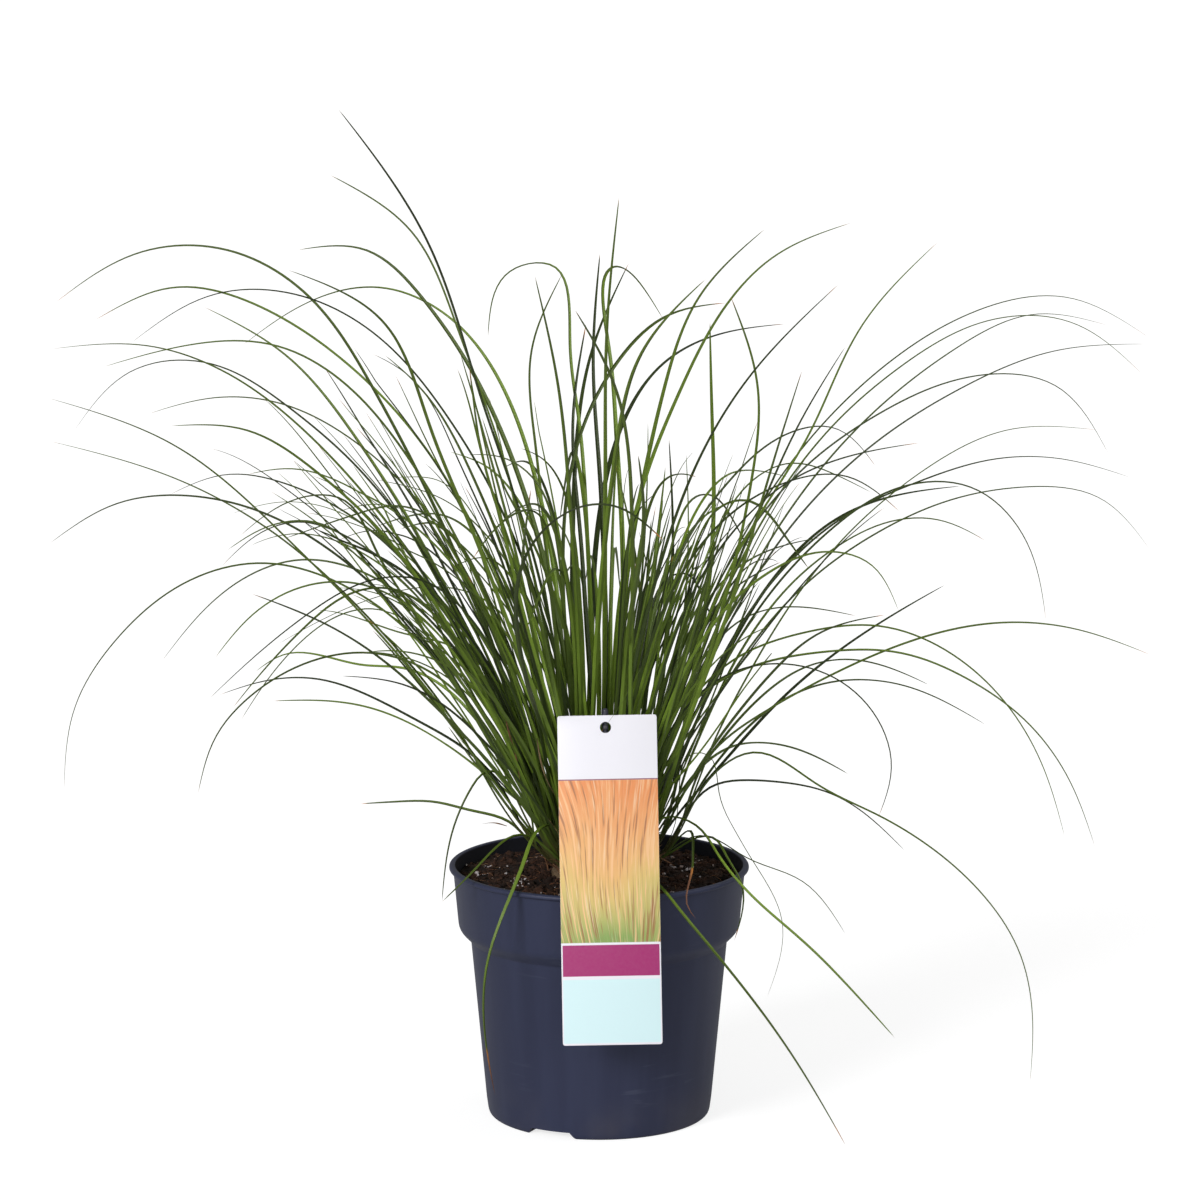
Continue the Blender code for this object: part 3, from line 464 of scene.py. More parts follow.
def peat():
    """Crumbly dark peat with redder fibres, darkest in its hollows, partly its own tone and partly painted
    shade.
    """
    finish = Finish("peat", 0.25)
    point = finish.place()
    coarse = point.noise(190.0, detail=5.0, roughness=0.65)
    fine = point.noise(1100.0, detail=4.0, roughness=0.7)
    patches = point.noise(70.0)
    # The ramp and the bump read nearly the same noise, so the hollows are near-black: partly the peat's own
    # dark tone, partly painted shade between the crumbs.
    colour = finish.coats(
        finish.ramp(0.55 * coarse + 0.45 * fine,
                    (0.30, (0.0060, 0.0035, 0.0026)), (0.50, (0.020, 0.0105, 0.0068)),
                    (0.68, (0.060, 0.030, 0.018)), (0.85, (0.115, 0.062, 0.038))),
        (finish.attribute("tint"), (0.088, 0.036, 0.020)),
        (patches.ease(0.52, 0.36) * 0.75, (0.0055, 0.0032, 0.0024)),
        (patches.ease(0.52, 0.68) * 0.28, (0.105, 0.046, 0.026)))
    finish.paint(colour, 0.80 + 0.18 * fine)
    return finish.embossed(0.5 * coarse + 0.5 * fine, 0.0018, 0.9)


def perlite():
    """Chalky white expanded grains, stained a little by the peat."""
    finish = Finish("perlite", 0.35)
    point = finish.place()
    pits = point.noise(900.0, detail=4.0, roughness=0.7)
    stain = point.noise(260.0, detail=3.0)
    colour = finish.mix(stain.ease(0.40, 0.70), (0.56, 0.52, 0.53), (0.26, 0.17, 0.13))
    finish.paint(colour, 0.62 + 0.3 * pits)
    return finish.embossed(pits, 0.0006, 0.8)


def dry_leaf():
    """Dead sheaths and strands, straw-coloured to red-brown, with long fibres."""
    finish = Finish("dry leaf", 0.3)
    across, along = finish.uv(0), finish.uv(1)
    fibres = finish.place((900.0, 900.0, 60.0)).noise(1.0, detail=3.0)
    veins = 0.5 + 0.5 * (across * 50.0).sine()
    colour = finish.coats(
        (0.30, 0.21, 0.11),
        (finish.attribute("tint"), (0.25, 0.085, 0.036)),
        (fibres.ease(0.35, 0.75), (0.085, 0.045, 0.024)),
        (veins * 0.25, (0.14, 0.09, 0.05)),
        (along.ease(0.25, 0.0) * 0.6, (0.045, 0.025, 0.014)))
    finish.paint(colour, 0.70 + 0.2 * fibres)
    return finish.embossed(0.6 * veins + 0.4 * fibres, 0.0002, 0.6)


def sedge_leaf():
    """Satin green with fine lengthwise veins, darker below (partly the underside's own duller green, partly
    painted shade), painted shade over the lower third of each blade, brown at the foot and where it has
    dried.
    """
    finish = Finish("sedge leaf", 0.34)
    across, along = finish.uv(0), finish.uv(1)
    tint, dried, under = [finish.attribute(name) for name in BLADE_LAYERS]
    mottle = finish.place().noise(55.0, detail=3.0)
    flecks = finish.place((700.0, 700.0, 120.0)).noise(1.0)
    veins = 0.5 + 0.5 * (across * 56.5).sine()
    rib = (1.0 - abs(across - 0.5) * 2.0) ** 14.0
    colour = finish.coats(
        (0.016, 0.026, 0.0055),
        (tint, (0.245, 0.385, 0.032)),
        (mottle.ease(0.35, 0.75) * 0.22, (0.070, 0.120, 0.012)),
        (veins * 0.16, (0.035, 0.065, 0.004)),
        (rib * 0.20, (0.22, 0.31, 0.030)),
        # The lower skin is darker: partly its own duller green, partly painted shade.
        (under * 0.30, (0.024, 0.042, 0.006)),
        (along.ease(0.30, 0.95) * 0.45, (0.030, 0.042, 0.012)),
        # Painted shade: the lower third of each blade is darkened, as deep inside the tussock.
        (along.ease(0.34, 0.06) * 0.62, (0.030, 0.048, 0.008)),
        (along.ease(0.15, 0.0) * 0.85, (0.060, 0.046, 0.016)),
        (flecks.ease(0.70, 0.82) * 0.25, (0.20, 0.20, 0.05)))
    edge = along - (1.0 - dried) + 0.02 * (mottle - 0.5)
    brown = finish.mix(edge.ease(0.0, 0.10), (0.48, 0.19, 0.045), (0.17, 0.075, 0.040))
    colour = finish.mix(edge.ease(-0.012, 0.012), colour, brown)
    finish.paint(colour, 0.35 + 0.12 * mottle + 0.12 * under)
    return finish.embossed(veins, 0.00006, 0.6)


def stake_plastic():
    """Dark moulded plastic, a little bluish, with a drawn grain."""
    finish = Finish("stake plastic", 0.5)
    grain = finish.place((500.0, 500.0, 40.0)).noise(1.0, detail=3.0)
    clouds = finish.place().noise(120.0, detail=3.0)
    colour = finish.mix(clouds, (0.022, 0.023, 0.035), (0.040, 0.040, 0.060))
    finish.paint(colour, 0.36 + 0.15 * grain)
    return finish.embossed(grain, 0.0001, 0.4)


def card_board():
    """The card's back and edges: plain coated board."""
    finish = Finish("card board", 0.4)
    fibre = finish.place().noise(700.0, detail=4.0)
    colour = finish.mix(fibre, (0.80, 0.79, 0.80), (0.86, 0.85, 0.88))
    finish.paint(colour, 0.55 + 0.1 * fibre)
    return finish.embossed(fibre, 0.00005, 0.3)


def card_print():
    """Plain panels, from the top: white, a picture place with a fan of streaks, magenta, pale cyan."""
    finish = Finish("card print", 0.45, coat_weight=0.25, coat_roughness=0.18)
    across, down = finish.uv(0), 1.0 - finish.uv(1)
    paper = finish.place().noise(500.0, detail=3.0)

    def between(top, foot):
        starts = down.ease(top - PRINT_SOFTNESS, top + PRINT_SOFTNESS)
        return starts * down.ease(foot + PRINT_SOFTNESS, foot - PRINT_SOFTNESS)

    sway = finish.plane(across * 1.1, down * 1.6).noise(2.0, detail=1.0)
    flow = down * 2.05 - 0.42 + 0.50 * (sway - 0.5)
    ripple = (down * 11.0 + across * 4.0).sine()
    fan = (across - 0.62) / (1.25 - 0.95 * down) + 0.035 * ripple
    strokes = finish.plane(fan * 26.0, down * 4.0).noise(1.0, detail=3.0, roughness=0.6)
    threads = finish.plane(fan * 70.0, down * 6.0).noise(1.0)
    bands = finish.coats(
        finish.ramp(flow, (0.00, (0.80, 0.27, 0.07)), (0.25, (0.82, 0.36, 0.12)), (0.48, (0.80, 0.45, 0.15)),
                    (0.66, (0.70, 0.50, 0.15)), (0.84, (0.46, 0.45, 0.12)), (1.00, (0.22, 0.36, 0.08))),
        (strokes.ease(0.52, 0.64) * 0.80, (0.90, 0.54, 0.27)),
        (strokes.ease(0.47, 0.34) * 0.85, (0.34, 0.12, 0.04)),
        (threads.ease(0.58, 0.72) * 0.6, (0.93, 0.76, 0.52)))
    inside = abs(across - 0.5).ease(*PANEL_SIDES)
    colour = finish.coats(
        (0.835, 0.825, 0.885),
        (between(PICTURE_TOP, PICTURE_FOOT), bands),
        (between(RULE_TOP, PICTURE_TOP), (0.24, 0.07, 0.12)),
        (between(*MAGENTA_PANEL) * inside, (0.36, 0.006, 0.140)),
        (between(*CYAN_PANEL) * inside, (0.655, 0.875, 0.905)),
        (paper * 0.05, (0.60, 0.58, 0.60)))
    finish.paint(colour, 0.34 + 0.08 * paper)
    return finish.embossed(paper, 0.00004, 0.25)


def studio_floor():
    """Matt white that is lifted by a glow, stronger where the camera sees it."""
    finish = Finish("studio floor", 0.0, emission_strength=1.0)
    seen = finish.node("LightPath", {}, {})
    glow = finish.mix(seen, (FLOOR_FILL,) * 3, (FLOOR_GLOW,) * 3)
    finish.paint((FLOOR_SHADE,) * 3, 0.9)
    finish.feed(finish.shader.inputs["Emission Color"], glow)
    return finish.material


def to_mesh(name, bm):
    mesh = bpy.data.meshes.new(name)
    bm.to_mesh(mesh)
    bm.free()
    return mesh


def to_scene(name, data):
    item = bpy.data.objects.new(name, data)
    bpy.context.scene.collection.objects.link(item)
    return item


def new_piece(name, bm, materials, replaced=(), sharp=40.0):
    """Makes the mesh an object that rides on the plant's body and stands for these nodes."""
    item = to_scene(name, to_mesh(name, bm))
    for material in materials:
        item.data.materials.append(material)
    shade_round(item, sharp)
    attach(item, "root")
    if replaced:
        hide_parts(*replaced)
    return item


def shade_round(item, sharp):
    item.data.shade_smooth()
    item.data.set_sharp_from_angle(angle=math.radians(sharp))


def carve(item, cutters, sharp=40.0):
    """Takes the cutters' closed bodies away from a piece, for good."""
    cutter = to_scene("cutter", to_mesh("cutter", cutters))
    modifier = item.modifiers.new("Carve", 'BOOLEAN')
    modifier.object = cutter
    modifier.operation = 'DIFFERENCE'
    modifier.solver = 'EXACT'
    whole = item.data
    item.data = bpy.data.meshes.new_from_object(item.evaluated_get(bpy.context.evaluated_depsgraph_get()))
    item.modifiers.clear()
    item.data.name = whole.name
    bpy.data.meshes.remove(whole)
    bpy.data.objects.remove(cutter, do_unlink=True)
    shade_round(item, sharp)


def add_rod(bm, sides, foot_radius, top_radius, length, place=Matrix()):
    """A closed round rod about its place's Z axis."""
    return bmesh.ops.create_cone(bm, cap_ends=True, segments=sides, radius1=foot_radius, radius2=top_radius,
                                 depth=length, matrix=place)["verts"]


def soften(bm, edges, size, steps):
    """Rounds these edges over."""
    bmesh.ops.bevel(bm, geom=edges, offset=size, offset_type='OFFSET', segments=steps, profile=0.5,
                    affect='EDGES', material=-1)


def rounded(outline, steps=4):
    """An outline of (radius, height, rounding) points with its corners turned into arcs."""
    points = []
    for i, (radius, height, size) in enumerate(outline):
        corner = Vector((radius, 0.0, height))
        if size == 0.0:
            points.append(corner)
            continue
        before, after = outline[i - 1], outline[i + 1]
        back = Vector((before[0], 0.0, before[1])) - corner
        ahead = Vector((after[0], 0.0, after[1])) - corner
        start = corner + back.normalized() * min(size, 0.45 * back.length)
        end = corner + ahead.normalized() * min(size, 0.45 * ahead.length)
        for step in range(steps + 1):
            share = step / steps
            points.append(start.lerp(corner, share).lerp(corner.lerp(end, share), share))
    return points


def turned(points, steps):
    """A closed body turned about the Z axis from an outline that starts and ends on it."""
    bm = bmesh.new()
    row = [bm.verts.new(point) for point in points]
    edges = [bm.edges.new(pair) for pair in zip(row, row[1:])]
    bmesh.ops.spin(bm, geom=row + edges, cent=(0.0, 0.0, 0.0), axis=UP, angle=math.tau, steps=steps,
                   use_merge=True)
    bmesh.ops.remove_doubles(bm, verts=bm.verts, dist=AXIS_WELD)
    bmesh.ops.recalc_face_normals(bm, faces=bm.faces)
    return bm


def level(angle):
    """The level direction at this angle from +X."""
    return Vector((math.cos(angle), math.sin(angle), 0.0))


def floor_outline(lift):
    """The pot's floor from the standing ring in to the axis."""
    return [
        (STAND_INNER_RADIUS + 0.5 * CHANNEL_RISE, lift, CHANNEL_ROUND),
        (STAND_INNER_RADIUS - 0.5 * CHANNEL_RISE, CHANNEL_RISE + lift, CHANNEL_ROUND),
        (PAD_RADIUS + CHANNEL_RISE, CHANNEL_RISE + lift, CHANNEL_ROUND),
        (PAD_RADIUS, lift, CHANNEL_ROUND),
        (0.0, lift, 0.0),
    ]


def wall_outline(inset):
    """The wall's inside from the foot up to the band, this far in from its outside."""
    corner = 0.35 * inset
    return [
        (FOOT_RADIUS - inset, inset, INNER_HEEL_ROUND),
        (BODY_FOOT_RADIUS - inset, BODY_FOOT_HEIGHT, INNER_BODY_ROUND),
        (BODY_TOP_RADIUS - inset, BODY_TOP_HEIGHT + corner, INNER_STEP_ROUND),
        (BAND_FOOT_RADIUS - inset, BAND_FOOT_HEIGHT + corner, INNER_STEP_ROUND),
    ]


def foot_cutters(with_holes):
    """The two slots in the foot's edge, and the drain holes."""
    bm = bmesh.new()
    for angle in NOTCH_ANGLES:
        middle = level(angle) * (FOOT_RADIUS - 0.2 * NOTCH_DEPTH)
        place = (Matrix.Translation(middle) @ Matrix.Rotation(angle, 4, 'Z')
                 @ Matrix.Diagonal((NOTCH_DEPTH, NOTCH_WIDTH, 2.0 * NOTCH_HEIGHT, 1.0)))
        block = bmesh.ops.create_cube(bm, size=1.0)["verts"]
        for vert in block:
            vert.co.y *= 1.0 if vert.co.z > 0.0 else NOTCH_SPLAY
            vert.co = place @ vert.co
    if with_holes:
        for number in range(DRAIN_HOLES):
            angle = math.tau * (number + 0.25) / DRAIN_HOLES
            place = Matrix.Translation(level(angle) * DRAIN_HOLE_RING)
            add_rod(bm, 28, DRAIN_HOLE_RADIUS, DRAIN_HOLE_RADIUS, 6.0 * CHANNEL_RISE, place)
    return bm


def make_pot():
    """The moulding with its rolled lip, wide band, soft shoulder, foot slots and drain holes."""
    lip = RIM_RADIUS + LIP_OUT
    outline = list(reversed(floor_outline(WALL))) + wall_outline(WALL) + [
        (BAND_TOP_RADIUS - WALL, RIM_HEIGHT - TUCK, LIP_FOOT_ROUND),
        (lip - LIP_FLAT, RIM_HEIGHT, LIP_ROUND),
        (lip, RIM_HEIGHT - LIP_ROUND, EDGE_ROUND),
        (lip, RIM_HEIGHT - 0.80 * LIP_TALL, 0.7 * LIP_ROUND),
        (BAND_TOP_RADIUS, RIM_HEIGHT - LIP_TALL, LIP_FOOT_ROUND),
        (BAND_FOOT_RADIUS - 0.5 * TUCK, BAND_FOOT_HEIGHT - SHOULDER_DROP, SHOULDER_ROUND),
        (BODY_TOP_RADIUS + TUCK, BODY_TOP_HEIGHT - 2.0 * TUCK, EDGE_ROUND),
        (BODY_FOOT_RADIUS, BODY_FOOT_HEIGHT, BODY_ROUND),
        (FOOT_RADIUS + HEEL_OUT, HEEL_HEIGHT, HEEL_ROUND),
        (FOOT_RADIUS + STAND_OUT, 0.0, EDGE_ROUND),
    ] + floor_outline(0.0)
    pot = new_piece("pot_moulding", turned(rounded(outline), POT_STEPS), [pot_plastic()],
                    ["pot"])
    carve(pot, foot_cutters(True))


def soil_height(x, y):
    """The peat's surface: mounded from the wall up to the plant, and uneven."""
    radius = math.hypot(x, y)
    mound = 0.5 * (1.0 + math.cos(math.pi * min(radius / BAND_TOP_RADIUS, 1.0)))
    uneven = noise.fractal(Vector((x, y, 0.0)) * SOIL_WAVES, 0.8, 2.1, 4)
    return RIM_HEIGHT - SOIL_EDGE_DROP + SOIL_MOUND * mound + SOIL_RELIEF * uneven


def make_soil(material):
    """The peat's body, with an uneven top."""
    wall_top = RIM_HEIGHT - SOIL_EDGE_DROP - SOIL_EDGE_STEP
    inset = WALL + GAP
    reach = BAND_FOOT_RADIUS + (BAND_TOP_RADIUS - BAND_FOOT_RADIUS) * SOIL_FILL - inset
    rings = int(reach / SOIL_RING_STEP)
    top = [(reach * i / rings, RIM_HEIGHT - SOIL_EDGE_DROP, 0.0) for i in range(rings + 1)]
    sides = [(reach, wall_top, 0.0)] + list(reversed(wall_outline(inset)))
    outline = top + sides + floor_outline(WALL + 2.0 * GAP)
    bm = turned(rounded(outline, 2), POT_STEPS)
    for vert in bm.verts:
        if vert.co.z > wall_top + TUCK:
            vert.co.z = soil_height(vert.co.x, vert.co.y)
    bm.verts.layers.float.new("tint")
    soil = new_piece("soil_body", bm, [material], ["potting_soil"], 60.0)
    carve(soil, foot_cutters(False), 60.0)


def on_soil(rng, margin):
    """A random place on the peat between the plant and the wall."""
    while True:
        angle = rng.uniform(0.0, math.tau)
        radius = (BAND_TOP_RADIUS - WALL - GAP - margin) * math.sqrt(rng.random())
        x, y = radius * math.cos(angle), radius * math.sin(angle)
        if math.hypot(x - CROWN_CENTRE.x, y) > CROWN_RADIUS - CROWN_EDGE:
            return Vector((x, y, soil_height(x, y)))


def add_lump(bm, rng, place, size, detail, tint):
    """A small uneven lump, stretched and turned at random."""
    spin = Matrix.Rotation(rng.uniform(0.0, math.tau), 3, 'Z')
    turn = spin @ Matrix.Rotation(rng.uniform(-1.0, 1.0), 3, 'X')
    stretch = Matrix.Diagonal([rng.uniform(*span) for span in LUMP_STRETCH])
    layer = bm.verts.layers.float["tint"]
    seed = Vector((rng.uniform(0.0, 50.0), rng.uniform(0.0, 50.0), 0.0))
    for vert in bmesh.ops.create_icosphere(bm, subdivisions=detail, radius=1.0)["verts"]:
        rough = 1.0 + 0.50 * noise.noise(vert.co * 1.7 + seed) + 0.22 * noise.noise(vert.co * 4.6 + seed)
        vert.co = place + turn @ (stretch @ vert.co) * size * rough
        vert[layer] = tint


def clustered(rng):
    """A chooser of places on the peat of which most lie in a few clusters."""
    middles = [on_soil(rng, CLUSTER_MARGIN) for _ in range(PERLITE_CLUSTERS)]

    def choose(margin):
        while True:
            place = on_soil(rng, margin)
            if rng.random() < STRAY_SHARE:
                return place
            if min((place - middle).xy.length for middle in middles) < CLUSTER_RADIUS:
                return place
    return choose


def lumps(rng, material, name, count, sizes, detail, lift, tints, choose=None):
    """Many lumps strewn over the peat as one piece, made in batches so that each mesh stays small."""
    choose = choose or (lambda margin: on_soil(rng, margin))
    whole = bmesh.new()
    whole.verts.layers.float.new("tint")
    for _ in range(count // BATCH):
        batch = bmesh.new()
        batch.verts.layers.float.new("tint")
        for _ in range(BATCH):
            size = rng.uniform(*sizes) * rng.choice(LUMP_GRADES)
            place = choose(1.6 * size)
            place.z += size * rng.uniform(*lift)
            add_lump(batch, rng, place, size, detail, rng.uniform(*tints))
        mesh = to_mesh("batch", batch)
        whole.from_mesh(mesh)
        bpy.data.meshes.remove(mesh)
    new_piece(name, whole, [material], (), 75.0)


def blade_mesh():
    """An empty mesh with the attributes and the map that a blade's finish reads."""
    bm = bmesh.new()
    bm.loops.layers.uv.new("UVMap")
    for name in BLADE_LAYERS:
        bm.verts.layers.float.new(name)
    return bm


def facing(path, side, twist):
    """Across and upward directions along a blade, turned so that its upper side looks up."""
    count = len(path)
    heading = (path[1] - path[0]).normalized()
    side = (side - heading * side.dot(heading)).normalized()
    rows = []
    for i in range(count):
        ahead = (path[min(i + 1, count - 1)] - path[max(i - 1, 0)]).normalized()
        side = heading.rotation_difference(ahead) @ side
        heading = ahead
        flat = heading.cross(UP)
        side = side.lerp(flat.normalized(), 0.16 * flat.length ** 2) if flat.length > 0.05 else side
        side = (side - heading * side.dot(heading)).normalized()
        turned_side = Matrix.Rotation(twist * (i / (count - 1)) ** 1.3, 3, heading) @ side
        rows.append((turned_side, turned_side.cross(heading)))
    return rows


def add_blade(bm, path, side, width, fold, tint, dried, twist, power, across=LEAF_ACROSS):
    """One closed blade along the path: two skins of a folded strip that meet along its edges."""
    rows = facing(path, side, twist)
    last = len(path) - 1
    layers = [bm.verts.layers.float[name] for name in BLADE_LAYERS]
    for under in (0.0, 1.0):
        made = bmesh.ops.create_grid(bm, x_segments=across, y_segments=last, size=1.0, calc_uvs=True)
        for vert in made["verts"]:
            place, share = vert.co.x, 0.5 * (vert.co.y + 1.0)
            step = round(share * last)
            sideways, upward = rows[step]
            swell = FOOT_WIDTH + (1.0 - FOOT_WIDTH) * min(1.0, share / WIDEST_AT)
            half = width * swell * (1.0 - share) ** power
            rise = half * abs(place) * (fold[0] + (fold[1] - fold[0]) * min(1.0, 3.0 * share))
            if step and under:
                rise -= LEAF_THICKNESS * (1.0 - place * place) * min(1.0, half / (0.5 * LEAF_HALF_WIDTH))
            vert.co = path[step] + sideways * half * place + upward * rise
            for layer, value in zip(layers, (tint, dried, under)):
                vert[layer] = value
        if under:
            faces = list({face for vert in made["verts"] for face in vert.link_faces})
            bmesh.ops.reverse_faces(bm, faces=faces)


def blade_piece(name, bm, material, replaced=()):
    """Joins each blade's two skins, and makes the blades one piece."""
    bmesh.ops.remove_doubles(bm, verts=bm.verts, dist=BLADE_WELD)
    new_piece(name, bm, [material], replaced, 50.0)


def smooth_path(knots, segments):
    """Even points of a natural cubic spline through the knots."""
    knots = np.array([tuple(knot) for knot in knots])
    step = np.linalg.norm(np.diff(knots, axis=0), axis=1)
    count = len(knots)
    system = np.eye(count)
    change = np.zeros((count, 3))
    for i in range(1, count - 1):
        system[i, i - 1:i + 2] = step[i - 1], 2.0 * (step[i - 1] + step[i]), step[i]
        change[i] = 6.0 * ((knots[i + 1] - knots[i]) / step[i] - (knots[i] - knots[i - 1]) / step[i - 1])
    bend = np.linalg.solve(system, change)
    path = [knots[0]]
    for i, width in enumerate(step):
        for share in np.arange(1, 13) / 12.0:
            far, near = share * width, (1.0 - share) * width
            path.append((bend[i] * near ** 3 + bend[i + 1] * far ** 3) / (6.0 * width)
                        + (knots[i] / width - bend[i] * width / 6.0) * near
                        + (knots[i + 1] / width - bend[i + 1] * width / 6.0) * far)
    path = np.array(path)
    along = np.concatenate(([0.0], np.cumsum(np.linalg.norm(np.diff(path, axis=0), axis=1))))
    wanted = np.linspace(0.0, along[-1], segments + 1)
    return [Vector([np.interp(value, along, path[:, axis]) for axis in range(3)]) for value in wanted]


def steps_along(path):
    """How many steps a leaf of this route gets."""
    length = sum((b - a).length for a, b in zip(path, path[1:]))
    fewest, most = LEAF_STEPS
    return max(fewest, min(most, round(length / LEAF_STEP)))


def from_picture(u, v, depth):
    """The point at this depth along Y that the picture shows at u, v."""
    ray = VIEW_AHEAD + (RIGHT * (u - PICTURE_MIDDLE) + VIEW_UP * (PICTURE_MIDDLE - v)) / FOCAL_PIXELS
    return VIEWPOINT + ray * ((depth - VIEWPOINT.y) / ray.y)


def in_picture(point):
    """Where the picture shows a point."""
    offset = point - VIEWPOINT
    far = offset.dot(VIEW_AHEAD)
    return (PICTURE_MIDDLE + FOCAL_PIXELS * offset.x / far,
            PICTURE_MIDDLE - FOCAL_PIXELS * offset.dot(VIEW_UP) / far)


def character(path, widths, rng):
    """A leaf's dried share, width and tint: as noted for leaves that stand out, or else at random."""
    u, v = in_picture(path[-1])
    for (at_u, at_v), dried, width, tint in NOTED_LEAVES:
        if math.hypot(u - at_u, v - at_v) < TIP_NEARNESS:
            return dried, width, tint
    dried = rng.choice(DRIED_ENDS)
    if path[-1].x - path[0].x > RIGHT_REACH:
        return dried, RIGHT_THINNING * rng.uniform(*widths), rng.choice(RIGHT_TINTS)
    if path[-1].z < LOW_TIP:
        return dried, rng.uniform(*LOW_WIDTHS), rng.uniform(*LOW_TINTS)
    if path[-1].z > HIGH_TIP:
        return dried, HIGH_WIDENING * rng.uniform(*widths), leaf_tint(rng)
    return dried, rng.uniform(*widths), leaf_tint(rng)


def read_shoot(node):
    """A packed shoot's foot and each of its leaves' routes, from its solid."""
    bm = bmesh.new()
    bm.from_mesh(node.data)
    bmesh.ops.remove_doubles(bm, verts=bm.verts, dist=SHOOT_WELD)
    in_leaves = set()
    leaves = []
    for tip in [vert for vert in bm.verts if len(vert.link_edges) == 3]:
        seen, ring, route = {tip}, {edge.other_vert(tip) for edge in tip.link_edges}, [tip.co.copy()]
        while len(ring) == 3:
            route.append(sum((vert.co for vert in ring), Vector()) / 3.0)
            seen |= ring
            ring = {edge.other_vert(vert) for vert in ring for edge in vert.link_edges} - seen
        in_leaves |= seen
        leaves.append(list(reversed(route)))
    feet = [vert.co for vert in bm.verts if vert not in in_leaves]
    foot = sum(feet, Vector()) / len(feet)
    bm.free()
    leaves.sort(key=lambda route: tuple(route[-1]))
    return foot, leaves


def clear_of_things(path):
    """True if a route stays off the card, over the pot and inside the plant's box."""
    low, high = cad_box
    card_top = 0.5 * CARD_HEIGHT * math.cos(CARD_LEAN)
    for point in path:
        height = point.z - CARD_MIDDLE.z
        back = CARD_MIDDLE.y + min(max(height, -card_top), card_top) * math.tan(CARD_LEAN)
        beside_card = abs(point.x - CARD_MIDDLE.x) > 0.5 * CARD_WIDTH + CARD_SIDE_ROOM
        if not beside_card and height < card_top + CARD_TOP_ROOM and point.y < back + CARD_BACK_ROOM:
            return False
        if point.z < RIM_HEIGHT + RIM_ROOM and point.xy.length > CROWN_RADIUS + CROWN_ROOM:
            return False
        if any(not low[axis] < point[axis] < high[axis] for axis in range(3)):
            return False
    return True


def polar(point):
    """A point's lean in degrees from upright and its distance from the fan's middle, in the picture."""
    u, v = in_picture(point)
    middle_u, middle_v = in_picture(FAN_MIDDLE)
    return math.degrees(math.atan2(u - middle_u, middle_v - v)), math.hypot(u - middle_u, v - middle_v)


def lean_at(path, reach):
    """A route's lean where it first gets this far above the fan's middle, or else at its end."""
    for point in path[len(path) // 6:]:
        lean, distance = polar(point)
        if distance >= reach and abs(lean) < 100.0:
            return lean
    return polar(path[-1])[0]


def turn_along(path):
    """How far a route has turned at each of its points, counted from its foot."""
    turns = [0.0, 0.0]
    for a, b, c in zip(path, path[1:], path[2:]):
        turns.append(turns[-1] + (b - a).angle(c - b))
    return turns


def without_bent_tip(path):
    """A short leaf right of the middle ends before it bends over."""
    if (path[-1] - BENT_TIPS).xz.length > BENT_TIPS_REACH:
        return path
    count = sum(turn < BENT_TIPS_TURN for turn in turn_along(path))
    return path[:max(count, len(path) // 2)]


def beside(host, lean, reach, straight, rng):
    """The route of a finer leaf: a bent copy of a host's lower stretch, turned to its own lean."""
    start = host[0] + Vector((rng.gauss(0.0, START_SPREAD), rng.gauss(0.0, START_SPREAD), 0.0))
    if (start - CROWN_CENTRE).xy.length > CROWN_RADIUS - CROWN_EDGE:
        start = host[0]
    tilt = Matrix.Rotation(rng.gauss(0.0, TILT_SPREAD), 3, 'X')
    bend = Vector([rng.gauss(0.0, spread) for spread in BEND_SPREAD] + [rng.uniform(*BEND_RISE)])
    heading = (host[len(host) // 3] - host[0]).normalized()
    path = []
    for point in host:
        offset = tilt @ (point - host[0]).lerp(heading * (point - host[0]).length, straight)
        path.append(start + offset + bend * offset.length * min(1.0, offset.length / BEND_LENGTH))
    for _ in range(3):
        turn = Matrix.Rotation(math.radians(lean - lean_at(path, LEAN_REACH * reach)), 3, 'Y')
        path = [start + turn @ (point - start) for point in path]
    low = next((i for i, point in enumerate(path) if point.z > FAN_MIDDLE.z), 0)
    count = next((i for i in range(low, len(path)) if polar(path[i])[1] > reach), len(path))
    farthest = max(range(len(path)), key=lambda i: (path[i] - start).length)
    path = path[:min(count, farthest + 1)]
    if len(path) < FEWEST_POINTS:
        return None
    turns = turn_along(path)
    if turns[-1] > MOST_TURN or max(b - a for a, b in zip(turns, turns[1:])) > SHARP_TURN:
        return None
    return path if clear_of_things(path) else None


def finer_leaves(hosts):
    """Routes of finer leaves for each shoot, from (shoot, route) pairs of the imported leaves."""
    rng = random.Random(77)
    routes = {}
    rising = [(shoot, path) for shoot, path in hosts
              if all(b.z > a.z for a, b in zip(path[1:len(path) // 2], path[2:]))]
    for lean, count, shortest, longest, straight in FINER_LEAVES:
        for _ in range(count):
            reach = shortest + (longest - shortest) * rng.random() ** 1.2
            near = [(shoot, path) for shoot, path in rising
                    if abs(lean_at(path, LEAN_REACH * reach) - lean) < HOST_SPREAD]
            for _ in range(8 if near else 0):
                shoot, host = rng.choice(near)
                route = beside(host, lean + rng.gauss(0.0, LEAN_SPREAD), reach, straight, rng)
                if route:
                    routes.setdefault(shoot, []).append(route)
                    break
    return routes


def leaf_tint(rng):
    """From 0, a dark leaf, to 1, a bright one; the darkest tints are partly the leaves' own varied green and
    partly painted shade.
    """
    return rng.uniform(*DARK_TINTS) if rng.random() < DARK_LEAVES else rng.uniform(*BRIGHT_TINTS)


def taper_of(path):
    """Arching leaves thin early, upright ones only near the tip."""
    return TAPER + ARCH_TAPER * max(0.0, abs(path[-1].x - path[0].x) - ARCH_REACH)


